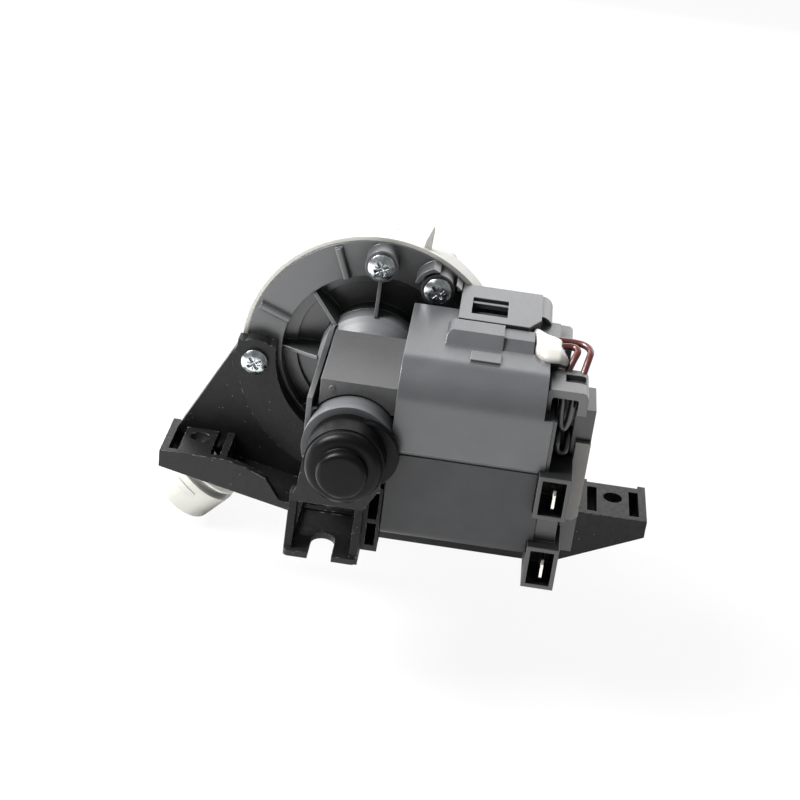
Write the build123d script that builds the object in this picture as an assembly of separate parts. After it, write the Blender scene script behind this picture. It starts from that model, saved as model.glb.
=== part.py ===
from build123d import *
import math
import os

os.makedirs("parts", exist_ok=True)

# Washer drain pump with a synchronous motor, on its mounting bracket.
# Lengths are in millimetres. The shapes are built about the pump axis: Y runs along it,
# zero on the front face of the cover flange, positive towards the volute; X is to the
# right and Z is up. The finished pieces then move so that the origin lies midway
# between the two foot holes, on the pads.

# Allowances
overrun = 1.0            # how far a cut runs past the face it leaves
seat_clearance = 0.05    # round pieces that sit in each other
running_clearance = 0.05  # shaft in a bush, on the radius
moving_clearance = 0.4   # between pieces that move past each other
core_clearance = 0.2     # stack in the bobbins and housings
bend_share = 0.45        # how much of a lead's shorter run its bend may take

# Pump cover
spigot_r = 31.0          # the round spigot that seats in the volute
spigot_end = 11.0
spigot_wall = 2.0
chamber_r = spigot_r - spigot_wall
screw_circle_offset = 2.7
screw_circle_r = spigot_r + screw_circle_offset
flange_margin = 5.3
cover_r = screw_circle_r + flange_margin
cover_flange = 3.0
recess_inset = 3.0
recess_r = spigot_r - recess_inset
recess_depth = 7.0
recess_step_width = 4.0
recess_step_r = recess_r - recess_step_width
recess_step = 1.5
cover_floor = 2.5
seal_groove = 1.1
seal_groove_width = 1.8
seal_groove_at = 7.1
hub_wall = 1.8
hub_front = 2.0
rib_count = 8
rib_thickness = 1.1
rib_rise = 5.0           # how far a rib stands forward at the hub
rib_edge_drop = 0.5      # how far it starts behind the flange face
land_rib_angles = (111.0, 159.5, 21.0)
land_rib_height = 1.6
land_rib_thickness = 2.4
land_rib_edge_r = 0.8
land_rib_inset = 1.0

# Screws
cover_screw_angles = (89.6, 58.5, -30.0)
bracket_screw_angles = (186.0, 300.0)
first_bracket_screw_out = 1.7
bracket_screw_radii = (screw_circle_r + first_bracket_screw_out, screw_circle_r)
screw_boss_r = 5.0
screw_boss_height = 6.0
screw_shank_r = 1.9
screw_length = 17.0
screw_head_r = 4.1
screw_head_height = 2.3
screw_head_edge = 1.2
screw_crown_share = 0.55  # flat top of a head, as a share of its radius
screw_hole_clearance = 0.1
cross_slot_width = 1.1
cross_slot_length = 4.6
cross_slot_depth = 1.4
cross_turn = 20.0

# Hood round the second screw
hood_inner_r = 6.0
hood_wall = 1.2
hood_height = 7.0
hood_from = 10.0
hood_to = 165.0

# Volute
lip_wall = 1.4
lip_r = cover_r + lip_wall
lip_front = 0.4
rim_depth = 8.0
neck_wall = 2.6
neck_r = spigot_r + neck_wall
neck_end = 12.5
body_wall = 2.6
body_r = chamber_r + body_wall
body_end = 21.0
chamber_straight = 20.0
chamber_taper = 5.5
chamber_back_r = chamber_r - chamber_taper
chamber_end = 27.0
back_wall = 2.5
back_edge_wall = 2.0
back_r = chamber_back_r + back_edge_wall
back_end = chamber_end + back_wall
inlet_r = 17.0
inlet_bore_r = 14.0
inlet_end = 42.0
volute_boss_r = 4.6
volute_boss_end = 16.0
screw_hole_floor = 1.0

# Outlet tube
outlet_angle = 226.0
outlet_y = 20.0
outlet_r = 13.0
outlet_bore_r = 10.0
outlet_length = 88.0     # pump axis to the rim
outlet_start = 20.0
throat_step = 0.8        # how much wider the bore is near the chamber
throat_start = 22.4
throat_end = 40.0
rim_r = 15.6
rim_land = 11.0
ridge_r = 15.0
ridge_length = 3.0
ridge_taper = 2.25
ridge_pitch = 5.6
ridge_count = 3
key_width = 1.8
key_length = 8.0
key_height = 0.2
key_back = 7.5           # rim to the middle of the key
prong_x = 12.6
prong_width = 2.4
prong_front = 1.6
prong_thickness = 1.2
prong_height = 6.6
prong_root = 1.0
prong_lean = 9.0
prong_tip_share = 0.45

# Impeller and its lost-motion coupling
impeller_gap = 1.0
impeller_r = chamber_back_r - impeller_gap
impeller_front = 12.0
shroud_thickness = 1.6
blade_end = 23.5
blade_count = 6
blade_thickness = 1.6
blade_tip_taper = 3.5
impeller_hub_r = 8.4
pocket_r = 6.6
pocket_end = 20.0
stop_angle = 60.0
stop_middle = 270.0
dog_hub_r = 3.4
dog_angle = 60.0
dog_middle = 90.0
dog_length = 6.0
damper_thickness = 1.2
hub_cap_thickness = 1.2

# Rotor can
can_r = 12.9
can_wall = 1.5
collar_step = 1.7
collar_r = can_r + collar_step
collar_back = 6.0
shoulder_step = 1.7
shoulder_r = collar_r + shoulder_step
shoulder_front = -5.0
shoulder_back = 1.9
shoulder_taper = 2.6
shoulder_edge = 1.3
can_rim_step = 0.35
can_rim_r = can_r + can_rim_step
can_rim_length = 2.4

# Stator core
core_back = -18.1
core_length = 33.2
core_front = core_back - core_length
core_half_height = 17.0
core_leg = 8.5
core_left_inset = 2.7
core_left = core_left_inset - can_r
core_bore_gap = 0.5
core_bore_r = can_r + core_bore_gap
yoke_width = 8.6
yoke_gap = 0.3
pip_r = 0.9
pip_height = 0.25
pip_inset = 3.4
pip_x = core_left + pip_inset
pip_drop = 2.6
pip_z = core_half_height - pip_drop

# Coils
bobbin_wall = 1.0
bobbin_flange = 1.2
winding_build = 3.2
bobbin_left_gap = 1.2
bobbin_right_gap = 0.4
spool_corner = 4.8

# Coil housings
housing_wall = 1.5
housing_end_wall = 3.4
housing_lap = 1.4        # how far the left wall reaches inside the can's radius
housing_left = can_r - housing_lap
housing_right = 54.9
winding_room_top = 3.5
winding_room_back = 0.1
winding_room_front = 0.3
coil_edge = core_clearance + bobbin_wall + winding_build
housing_half_height = core_half_height + coil_edge + winding_room_top + housing_wall
housing_back = core_back + coil_edge + winding_room_back + housing_wall
housing_front = core_front - coil_edge - winding_room_front - housing_wall
housing_brow_r = 11.0    # large rounding of the top front edge
housing_edge_r = 2.2
seam_groove = 0.5
seam_groove_width = 1.2
yoke_right = housing_right - housing_end_wall - yoke_gap
bobbin_left = housing_left + housing_wall + bobbin_left_gap
bobbin_right = yoke_right - yoke_width - bobbin_right_gap

# Catch in front of the strap, and the small pad before it
catch_inset = 7.5
catch_length = 25.0
catch_low_length = 8.8
catch_right = housing_right - catch_inset
catch_left = catch_right - catch_length
catch_split = catch_right - catch_low_length
catch_from_front = 20.3
catch_front = housing_front + catch_from_front
catch_width = 11.2
catch_back = catch_front + catch_width
catch_slope = 3.7
catch_height = 3.1
catch_edge_r = 2.0
catch_drop = 0.8
tab_pad_inset = 7.6
tab_pad_length = 8.4
tab_pad_left = catch_left + tab_pad_inset
tab_pad_right = tab_pad_left + tab_pad_length
tab_pad_from_front = 11.0
tab_pad_front = housing_front + tab_pad_from_front
tab_pad_width = 6.0
tab_pad_height = 0.7

# Ledge on the housing's end
ledge_inset = 5.4
ledge_reach = 4.1
ledge_left = housing_right - ledge_inset
ledge_right = housing_right + ledge_reach
ledge_from_back = 6.9
ledge_past_back = 4.6
ledge_front = housing_back - ledge_from_back
ledge_back = housing_back + ledge_past_back
ledge_drop = 2.4
ledge_height = 20.0
ledge_top = housing_half_height - ledge_drop
ledge_bottom = ledge_top - ledge_height
ledge_corner = 1.5

# Strap of the cover over the coil housing
strap_inset = 6.0
strap_length = 24.0
strap_right = housing_right - strap_inset
strap_left = strap_right - strap_length
strap_catch_gap = 1.0
strap_front = catch_back + strap_catch_gap
strap_thickness = 2.0
strap_gap = 1.1
strap_lug_height = 12.5
strap_lug_thickness = 2.4
strap_back = 0.2
strap_corner_x = 3.4
strap_corner_y = 6.0
window_inset = 3.5
window_length = 10.6
window_left = strap_left + window_inset
window_right = window_left + window_length
window_front_margin = 4.4
window_back_margin = 9.0
window_front = strap_front + window_front_margin
window_back = strap_back - window_back_margin
window_bar = 1.4
curl_r = 3.5
curl_thickness = 1.4
curl_drop = 0.5
curl_front_margin = 10.0

# Latch arm of the cover along the stack
arm_outset = 0.4
arm_left = -(can_r + arm_outset)
arm_thickness = 1.5
arm_bottom = 1.5
arm_top = 11.6
arm_past_core = 2.3
arm_hook_front = core_front - arm_past_core
arm_hook_reach = 1.2
arm_hook_right = core_left + arm_hook_reach
arm_hook_bottom = 2.5
arm_hook_top = 8.0

# Rotor
shaft_r = 2.0
shaft_front = 22.5
shaft_inset = 3.0
can_tail = 7.7
can_end = core_front - can_tail
shaft_rear = can_end + shaft_inset
air_gap = 1.6
magnet_r = can_r - can_wall - air_gap
magnet_wall_share = 19 / 39  # the magnet's part of the room round the shaft
magnet_bore_r = magnet_r - magnet_wall_share * (magnet_r - shaft_r)
magnet_lead = 0.6
magnet_inset = 3.3
magnet_front = core_back + magnet_lead
magnet_rear = core_front + magnet_inset
carrier_flange = 1.0
carrier_flange_inset = 1.2
carrier_flange_r = magnet_r - carrier_flange_inset
washer_r = 4.4
washer_thickness = 1.0
washer_gap = 0.4

# Bearings
bearing_r = 5.0
bearing_length = 5.0
plug_front = -4.0
plug_wall = 2.0
seal_lip_length = 2.6
seal_lip_wall = 1.4

# Tail boot
boot_step = 1.7
boot_r = can_r - boot_step
boot_length = 9.0
boot_front = can_end - boot_length
groove_depth = 1.6
groove_r = boot_r - groove_depth
dome_r = 10.8
dome_length = 3.6
dome_edge_r = 3.0
nose_r = 7.1
nose_length = 3.4
nose_edge_r = 2.0
lobe_x = 4.3
lobe_z = 0.5
lobe_step = 1.0
lobe_r = boot_r - lobe_step
lobe_rear_gap = 0.2

# Terminal end
cap_inset = 2.4
cap_reach = 8.9
cap_left = housing_right - cap_inset
cap_right = housing_right + cap_reach
cap_drop = 2.4
cap_height = 6.9
cap_top = housing_half_height - cap_drop
cap_bottom = cap_top - cap_height
cap_from_front = 5.9
cap_depth = 14.3
cap_front = housing_front + cap_from_front
cap_back = cap_front + cap_depth
cap_roof = 2.4
cap_side_left = 1.2
cap_side_right = 2.6
cap_arch_r = 0.8
cap_arch_wall = 2.7
cap_left_edge_r = 0.8
cap_right_edge_r = 2.2
cap_slot_inset = 4.6
cap_slot_length = 5.8
cap_slot_from_back = 3.2
cap_slot_width = 4.8
cap_slot_depth = 1.9
cap_gap = 0.1
recess_reach = 6.5
recess_right = housing_right + recess_reach
recess_wall = 1.0
recess_top = cap_bottom - cap_gap
recess_height = 18.0
recess_bottom = recess_top - recess_height
recess_from_front = 15.5
recess_back = housing_front + recess_from_front
wall_from_front = 0.3
wall_front = housing_front + wall_from_front
spine_reach = 12.1
spine_right = housing_right + spine_reach
spine_from_front = 12.5
spine_depth = 15.0
spine_front = housing_front + spine_from_front
spine_back = spine_front + spine_depth
spine_drop = 1.1
spine_top = recess_top - spine_drop
shroud_width = 9.2
shroud_height = 13.3
shroud_wall = 1.2
shroud_reach = 3.1
shroud_x = housing_right + shroud_reach
shroud_drop = 4.35
shroud_z = recess_bottom - shroud_drop
shroud_pitch = 22.75
shroud_stand = 3.0
shroud_front = housing_front - shroud_stand
shroud_depth = 14.5
shroud_back = shroud_front + shroud_depth
shroud_floor = 2.0
spine_foot = 2.2
spine_bottom = shroud_z - shroud_pitch - spine_foot
neck_width = 6.0
neck_set = 4.0
neck_front = shroud_front + neck_set
spade_width = 6.3
spade_thickness = 0.8
spade_root = 4.0
spade_offset = 0.5
spade_drop = 1.0
spade_tip_gap = 0.4
spade_tip = 1.1
plate_thickness = 1.6
plate_width = 4.3
plate_left = spine_right - plate_width
plate_rise = 11.65
plate_height = 25.3
plate_top = shroud_z + plate_rise
plate_bottom = plate_top - plate_height
plate_corner = 1.5

# Thermal protector, sealant and leads
protector_length = 10.0
protector_width = 4.6
protector_height = 1.8
protector_inset = 4.0
protector_from_front = 26.7
protector_x = housing_right - protector_inset
protector_y = housing_front + protector_from_front
bead_inset = 2.4
bead_from_front = 27.1
bead_x = housing_right - bead_inset
bead_y = housing_front + bead_from_front
bead_rx = 5.0
bead_ry = 9.6
bead_height = 3.0
lead_r = 1.0
coil_lead_r = 0.95
# A protector lead's points, from the housing's right end, front face and top.
lead_run_1 = ((-1.1, 26.3, 1.2), (3.1, 28.0, 1.3), (5.3, 25.9, 1.2), (4.0, 22.3, 0.0),
              (2.3, 18.7, -4.0))
lead_run_2 = ((-1.1, 30.9, 1.1), (5.7, 31.7, 1.1), (9.0, 27.9, 0.9), (8.1, 23.1, -0.1),
              (6.9, 18.7, -4.0))
# A coil lead's points, from the housing's right end, front face and the cap's lower edge.
coil_run_1 = ((2.05, 10.6, 4.4), (2.1, 9.9, -6.5), (4.9, 9.9, -6.5), (4.95, 10.6, 4.4))
coil_run_2 = ((2.4, 15.0, -7.9), (2.5, 10.3, -9.3), (2.6, 10.1, -14.4), (5.3, 10.1, -14.4),
              (5.4, 11.9, -10.5), (5.4, 15.0, -8.9))

# Mounting bracket
foot_spacing = 130.0
foot_left_x = -49.9
foot_y = -8.0
foot_top = -31.2
foot_hole_r = 3.0
foot_access_r = 5.5
pad_width = 10.0
pad_depth = 19.5
pad_thickness = 4.0
pad_groove = 3.0
foot_end_wall = 2.4
foot_rib = 2.2
skirt_front = -20.0
skirt_wall = 2.2
skirt_floor = 2.6
skirt_end_height = 5.6
skirt_flat_left = 3.1
skirt_flat_right = 62.5
skirt_drop = 19.4        # pad top to the lowest flat
bracket_back_wall = 3.0
foot_back_lip = 1.5
arm_plate_margin = 0.6
arm_plate_r = lip_r + arm_plate_margin
arm_plate_lap = 1.0
arm_plate_inner_r = recess_r + arm_plate_lap
arm_plate_step = 2.0
arm_from = 176.0
arm_to = 252.0
eye_r = 7.2
eye_tangent_angle = 153.0
web_edge_angle = -40.0
wall_end_rise = 1.2      # how far the front wall's tip stands above the skirt's edge
wall_fall_length = 18.6   # from a foot's inner rib to the tip of the front wall
# How the wall's upper edge falls: how far along that length, and how far down to the tip.
wall_fall_shares = ((0.35, 0.14), (0.69, 0.36), (1.0, 1.0))
second_eye_r = 6.2

# Tail upright and slotted tab
upright_step = 3.0
upright_back = can_end - upright_step
upright_thickness = 2.5
upright_front = upright_back - upright_thickness
upright_margin = 0.8
upright_right = groove_r + upright_margin
upright_left = -12.8
upright_lean = 1.0
upright_top = -1.4
upright_shoulder = -8.0
cradle_flare = 4.0
cradle_bottom = -15.5
tab_left = -14.4
tab_right = 6.4
tab_top = -29.0
tab_thickness = 1.8
tab_reach = 7.0
tab_front = upright_back - tab_reach
tab_run = 18.0
tab_back = upright_back + tab_run
tab_side_wall = 2.2
tab_side_top = 2.0
tab_side_depth = 2.5
tab_corner_r = 1.5
tab_slot_r = 3.4
tab_slot_set = 1.3
tab_slot_y = upright_back + tab_slot_set
cross_wall = 2.0
cross_rise = 0.8
beam_floor_top = -33.0
beam_floor = 2.0
beam_run = 14.0
beam_floor_front = upright_back + beam_run
beam_rib_top = -27.0
beam_rib = 2.2
beam_right = housing_left - moving_clearance
ladder_set = 8.6
ladder_front = upright_back + ladder_set
ladder_thickness = 1.8
ladder_gap = 1.1
ladder_top = -(can_r + ladder_gap)
ladder_stile = 1.0
ladder_bar_top = -24.3
ladder_bar = 1.5


def rod(radius, y0, y1, x=0.0, z=0.0):
    """A cylinder along Y between two stations."""
    return Pos(x, (y0 + y1) / 2, z) * Rot(90, 0, 0) * Cylinder(radius, y1 - y0)


def block(x0, x1, y0, y1, z0, z1):
    """A box between two corners."""
    centre = Pos((x0 + x1) / 2, (y0 + y1) / 2, (z0 + z1) / 2)
    return centre * Box(x1 - x0, y1 - y0, z1 - z0)


def post(radius, x, y, z0, z1):
    """A cylinder along Z between two heights."""
    return Pos(x, y, (z0 + z1) / 2) * Cylinder(radius, z1 - z0)


def slab(sketch, y0, y1):
    """A flat shape drawn in X and Z, made solid between two stations."""
    return Pos(0, y1, 0) * Rot(90, 0, 0) * extrude(sketch, y1 - y0, dir=(0, 0, 1))


def outline(*points):
    """A filled polygon whose points are given in its own plane."""
    return Polygon(*points, align=None)


def turned(*points):
    """A solid turned about the pump axis from a radius and station outline."""
    return revolve(outline(*points), Axis.Y)


def on_circle(radius, degrees):
    """A point on a circle about the pump axis, as X and Z."""
    angle = math.radians(degrees)
    return radius * math.cos(angle), radius * math.sin(angle)


def wedge(radius, start, end):
    """A flat sector about the origin, for spans under a half turn."""
    middle = (start + end) / 2
    reach = radius / math.cos(math.radians((end - start) / 4))
    corners = [on_circle(reach, angle) for angle in (start, middle, end)]
    return Circle(radius) & outline((0, 0), *corners)


cover_screw_places = [on_circle(screw_circle_r, angle) for angle in cover_screw_angles]
bracket_screw_places = [on_circle(radius, angle)
                        for radius, angle in zip(bracket_screw_radii, bracket_screw_angles)]


def tube(points, radius):
    """A round lead along a route, with arcs as large as its runs allow."""
    places = [Vector(*point) for point in points]
    radii = []
    for before, here, after in zip(places, places[1:], places[2:]):
        turn = (here - before).get_angle(after - here)
        run = min((here - before).length, (after - here).length)
        radii.append(bend_share * run / math.tan(math.radians(turn / 2)))
    print("lead radii", [round(value, 2) for value in radii])
    path = FilletPolyline(*points, radius=radii)
    start = Plane(origin=path @ 0, z_dir=path % 0)
    return sweep(start * Circle(radius), path=path)


# Bodies that turn
def rotor_shaft():
    return rod(shaft_r, shaft_rear, shaft_front)


def rotor_magnet():
    return rod(magnet_r, magnet_rear, magnet_front) - rod(magnet_bore_r, magnet_rear - overrun,
                                                          magnet_front + overrun)


def rotor_carrier():
    core = rod(magnet_bore_r - seat_clearance, magnet_rear, magnet_front)
    rear = rod(carrier_flange_r, magnet_rear - carrier_flange, magnet_rear)
    front = rod(carrier_flange_r, magnet_front, magnet_front + carrier_flange)
    bore = rod(shaft_r + seat_clearance, magnet_rear - carrier_flange - overrun,
               magnet_front + carrier_flange + overrun)
    return core + rear + front - bore


def washer(y0):
    hole = rod(shaft_r + seat_clearance, y0 - overrun, y0 + washer_thickness + overrun)
    return rod(washer_r, y0, y0 + washer_thickness) - hole


front_washer_y = magnet_front + carrier_flange
rear_washer_y = magnet_rear - carrier_flange - washer_thickness
front_bearing_y = front_washer_y + washer_thickness + washer_gap
rear_bearing_y = rear_washer_y - washer_gap - bearing_length


def drive_dog():
    """The driver on the shaft: a collar with one lug in the impeller's pocket."""
    lug_r = pocket_r - moving_clearance
    lug = wedge(lug_r, dog_middle - dog_angle / 2, dog_middle + dog_angle / 2)
    start = pocket_end - moving_clearance - dog_length
    flat = Circle(dog_hub_r) + lug - Circle(shaft_r + seat_clearance)
    return slab(flat, start, start + dog_length)


def impeller():
    """A shrouded disc with straight blades that pump whichever way it starts."""
    disc = rod(impeller_r, impeller_front, impeller_front + shroud_thickness)
    hub = rod(impeller_hub_r, impeller_front, blade_end)
    body = disc + hub
    for number in range(blade_count):
        blade = outline((0, impeller_front), (impeller_r, impeller_front),
                        (impeller_r - blade_tip_taper, blade_end), (0, blade_end))
        solid = extrude(blade, blade_thickness / 2, both=True)
        body += Rot(0, number * 360 / blade_count, 0) * solid
    body -= rod(pocket_r, impeller_front - overrun, pocket_end)
    body -= rod(shaft_r + running_clearance, impeller_front, blade_end + overrun)
    stop = wedge(pocket_r + seat_clearance, stop_middle - stop_angle / 2,
                 stop_middle + stop_angle / 2)
    stop_inner = dog_hub_r + moving_clearance
    stop_front = impeller_front + hub_cap_thickness
    body += slab(stop - Circle(stop_inner), stop_front, pocket_end)
    return body


def coupling_damper():
    """Two rubber pads on the faces of the impeller's stop."""
    inner = dog_hub_r + moving_clearance
    start = impeller_front + hub_cap_thickness + seat_clearance
    first, last = stop_middle - stop_angle / 2, stop_middle + stop_angle / 2
    width = math.degrees(damper_thickness / pocket_r)
    wide = wedge(pocket_r - seat_clearance, first - width, last + width)
    grown = wedge(pocket_r, first, last)
    return slab(wide - grown - Circle(inner), start, pocket_end - seat_clearance)


def impeller_hub_cap():
    """The disc that closes the coupling pocket round the shaft."""
    disc = rod(pocket_r - seat_clearance, impeller_front, impeller_front + hub_cap_thickness)
    hole = rod(shaft_r + moving_clearance, impeller_front - overrun,
               impeller_front + hub_cap_thickness + overrun)
    return disc - hole


# Rotor can and what it holds
def rotor_can():
    outer = turned((0, can_end), (can_rim_r, can_end), (can_rim_r, can_end + can_rim_length),
                   (can_r, can_end + can_rim_length), (can_r, shoulder_front - shoulder_taper),
                   (shoulder_r - shoulder_edge, shoulder_front),
                   (shoulder_r, shoulder_front + shoulder_edge),
                   (shoulder_r, shoulder_back), (collar_r, shoulder_back),
                   (collar_r, collar_back), (0, collar_back))
    bore = rod(can_r - can_wall, can_end + can_wall, collar_back + overrun)
    return outer - bore


def bearing(y0):
    """A plain bush."""
    bush = rod(bearing_r, y0, y0 + bearing_length)
    hole = rod(shaft_r + running_clearance, y0 - overrun, y0 + bearing_length + overrun)
    return bush - hole


def bearing_seat(y0, y1):
    """A rubber holder between a bush and the can."""
    ring = rod(can_r - can_wall - seat_clearance, y0, y1)
    return ring - rod(bearing_r + seat_clearance, y0 - overrun, y1 + overrun)


def chamber_plug():
    """The disc that closes the can behind the pump chamber."""
    back = recess_depth + cover_floor
    outer = turned((0, plug_front), (can_r - can_wall - seat_clearance, plug_front),
                   (can_r - can_wall - seat_clearance, collar_back),
                   (collar_r, collar_back), (collar_r, back), (0, back))
    seal_seat = rod(shaft_r + seal_lip_wall + seat_clearance, back - seal_lip_length,
                    back + overrun)
    shaft_way = rod(shaft_r + moving_clearance, plug_front - overrun, back + overrun)
    hollow = rod(can_r - can_wall - plug_wall - seat_clearance, plug_front - overrun,
                 back - seal_lip_length - plug_wall)
    return outer - seal_seat - shaft_way - hollow


def shaft_seal():
    back = recess_depth + cover_floor
    ring = rod(shaft_r + seal_lip_wall, back - seal_lip_length, back)
    return ring - rod(shaft_r + running_clearance, back - seal_lip_length - overrun,
                      back + overrun)


# Pump cover
def screw_boss(x, z):
    boss = rod(screw_boss_r, -screw_boss_height, 0, x, z)
    return boss


def cover_shell():
    """The turned shell: flange, stepped recess, floor, spigot and hub."""
    back = recess_depth + cover_floor
    hub_r = collar_r + seat_clearance
    step_y = recess_depth - recess_step
    groove_r = spigot_r - seal_groove
    groove_end = seal_groove_at + seal_groove_width
    return turned((hub_r, hub_front), (hub_r + hub_wall, hub_front),
                  (hub_r + hub_wall, recess_depth), (recess_step_r, recess_depth),
                  (recess_step_r, step_y), (recess_r, step_y), (recess_r, 0),
                  (cover_r, 0), (cover_r, cover_flange), (spigot_r, cover_flange),
                  (spigot_r, seal_groove_at), (groove_r, seal_groove_at),
                  (groove_r, groove_end), (spigot_r, groove_end), (spigot_r, spigot_end),
                  (chamber_r, spigot_end), (chamber_r, back), (hub_r, back))


def cover_ribs():
    """Thin ribs from the flange's inner edge to the can's collar."""
    inner = collar_r + seat_clearance
    profile = outline((inner, -rib_rise), (recess_r + seat_clearance, rib_edge_drop),
                      (recess_r + seat_clearance, recess_depth), (inner, recess_depth))
    rib = extrude(profile, rib_thickness / 2, both=True)
    ribs = [Rot(0, -(90 + number * 360 / rib_count), 0) * rib for number in range(rib_count)]
    return ribs


def land_ribs():
    """Short rounded ribs across the flange's face."""
    outer = cover_r - land_rib_inset
    profile = outline((recess_r, -land_rib_height), (outer, -land_rib_height),
                      (outer, cover_flange), (recess_r, cover_flange))
    rib = extrude(profile, land_rib_thickness / 2, both=True)
    edges = rib.edges().filter_by(Axis.X).group_by(Axis.Y)[0]
    rib = fillet(edges, land_rib_edge_r)
    return [Rot(0, -angle, 0) * rib for angle in land_rib_angles]


def screw_hood():
    """The open wall round the second screw."""
    x, z = cover_screw_places[1]
    outer = hood_inner_r + hood_wall
    ring = Circle(outer) - Circle(hood_inner_r)
    middle = (hood_from + hood_to) / 2
    keep = wedge(outer + overrun, hood_from, middle) + wedge(outer + overrun, middle, hood_to)
    flat = Pos(x, z) * (ring & keep)
    disc = Circle(cover_r)
    return slab(flat & disc, -hood_height, 0)


def strap():
    """The strap that reaches over the coil housing, with its window and curled end."""
    bottom = housing_half_height + strap_gap
    top = bottom + strap_thickness
    plate = outline((strap_left, strap_back), (strap_left, strap_front),
                    (strap_right - strap_corner_x, strap_front),
                    (strap_right, strap_front + strap_corner_y), (strap_right, strap_back))
    plate = Pos(0, 0, bottom) * extrude(plate, strap_thickness, dir=(0, 0, 1))
    plate -= block(window_left, window_right, window_front, window_back,
                   bottom - overrun, top + overrun)
    bar_back = window_back - window_bar
    bar = block(window_left, window_right, bar_back - window_bar, bar_back,
                bottom, bottom + window_bar)
    lug = outline((0, 0), (strap_left, top), (strap_right, top),
                  (strap_right, top - strap_lug_height))
    lug = slab(lug - Circle(recess_r + screw_boss_r), strap_back - strap_lug_thickness, strap_back)
    curl_z = top - curl_drop - curl_r
    ring = Circle(curl_r) - Circle(curl_r - curl_thickness)
    quarter = ring & outline((0, 0), (curl_r, 0), (curl_r, curl_r), (0, curl_r))
    curl_front = strap_front + curl_front_margin
    curl = slab(Pos(strap_right, curl_z) * quarter, curl_front, strap_back)
    curl -= block(strap_right, strap_right + curl_r + overrun, curl_front - overrun,
                  housing_back + moving_clearance, curl_z - overrun,
                  housing_half_height + moving_clearance)
    return plate + bar + lug + curl


def latch_arm():
    """The arm beside the stack, with the hook that holds it on the can."""
    right = arm_left + arm_thickness
    arm = block(arm_left, right, arm_hook_front, recess_depth, arm_bottom, arm_top)
    hook = outline((right, arm_hook_front), (arm_hook_right, core_front - seat_clearance),
                   (right, core_front - seat_clearance))
    hook = extrude(hook, arm_hook_top - arm_hook_bottom, dir=(0, 0, 1))
    hook = Pos(0, 0, arm_hook_bottom) * hook
    return arm + hook


def pump_cover():
    cover = cover_shell()
    for rib in cover_ribs() + land_ribs():
        cover += rib
    for x, z in cover_screw_places:
        cover += screw_boss(x, z)
    cover += screw_hood()
    cover += strap()
    cover += latch_arm()
    back = recess_depth + cover_floor
    cover -= rod(can_r + seat_clearance, arm_hook_front - overrun, shoulder_front)
    cover -= rod(shoulder_r + seat_clearance, shoulder_front - shoulder_taper, hub_front)
    cover -= rod(collar_r + seat_clearance, hub_front - overrun, back + overrun)
    hole_r = screw_shank_r + screw_hole_clearance
    for x, z in cover_screw_places + bracket_screw_places:
        cover -= rod(hole_r, -screw_boss_height - overrun, cover_flange + overrun, x, z)
    return cover


# Volute
def along_outlet(profile):
    """Turns a radius and distance outline about the outlet's axis."""
    return along_outlet_solid(revolve(profile, Axis.Y))


def along_outlet_solid(solid):
    """Turns a solid that stands on Y so that it lies along the outlet."""
    return Pos(0, outlet_y, 0) * Rot(0, -outlet_angle, 0) * Rot(0, 0, -90) * solid


def outlet_outer():
    """The tube with its hose ridges and the plain land at the rim."""
    points = [(0, outlet_start), (outlet_r, outlet_start)]
    land_start = outlet_length - rim_land
    for number in range(ridge_count, 0, -1):
        foot = land_start - number * ridge_pitch
        points += [(outlet_r, foot), (ridge_r, foot + ridge_taper),
                   (ridge_r, foot + ridge_length), (outlet_r, foot + ridge_length)]
    points += [(outlet_r, land_start), (rim_r, land_start), (rim_r, outlet_length),
               (0, outlet_length)]
    return along_outlet(outline(*points))


def outlet_key():
    """The small raised bar across the outlet's land, on the side of the flange."""
    middle = outlet_length - key_back
    ring = rod(rim_r + key_height, middle - key_width / 2, middle + key_width / 2)
    reach = rim_r + key_height + overrun
    bar = block(0, reach, middle - key_width, middle + key_width, -key_length / 2, key_length / 2)
    return along_outlet_solid(ring & bar)


def outlet_bore():
    throat_r = outlet_bore_r + throat_step
    return along_outlet(outline((0, throat_start), (throat_r, throat_start),
                                (throat_r, throat_end), (outlet_bore_r, throat_end),
                                (outlet_bore_r, outlet_length + overrun),
                                (0, outlet_length + overrun)))


def prong():
    """The thin pointed prong that stands on the rim."""
    base = math.sqrt(lip_r ** 2 - prong_x ** 2) - prong_root
    half = prong_width / 2
    flat = outline((-half, 0), (half, 0), (half * prong_tip_share, prong_height),
                   (0, prong_height + prong_width), (-half, prong_height * prong_tip_share))
    flat = Pos(prong_x, base) * Rot(0, 0, -prong_lean) * flat
    return slab(flat, prong_front, prong_front + prong_thickness)


def volute():
    outer = turned((inlet_bore_r, lip_front), (lip_r, lip_front), (lip_r, rim_depth),
                   (neck_r, rim_depth), (neck_r, neck_end), (body_r, neck_end),
                   (body_r, body_end), (back_r, back_end), (inlet_r, back_end),
                   (inlet_r, inlet_end), (inlet_bore_r, inlet_end))
    outer += outlet_outer()
    outer += outlet_key()
    for x, z in cover_screw_places + bracket_screw_places:
        outer += rod(volute_boss_r, rim_depth, volute_boss_end, x, z)
    outer += prong()
    seat = rod(cover_r + seat_clearance, lip_front - overrun, cover_flange)
    spigot_way = rod(spigot_r + seat_clearance, cover_flange - overrun, spigot_end)
    chamber = turned((0, spigot_end), (chamber_r, spigot_end), (chamber_r, chamber_straight),
                     (chamber_back_r, chamber_end), (inlet_bore_r, chamber_end),
                     (inlet_bore_r, inlet_end + overrun), (0, inlet_end + overrun))
    shell = outer - seat - spigot_way - chamber - outlet_bore()
    hole_r = screw_shank_r + screw_hole_clearance
    for x, z in cover_screw_places + bracket_screw_places:
        shell -= rod(hole_r, 0, volute_boss_end - screw_hole_floor, x, z)
    return shell


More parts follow.
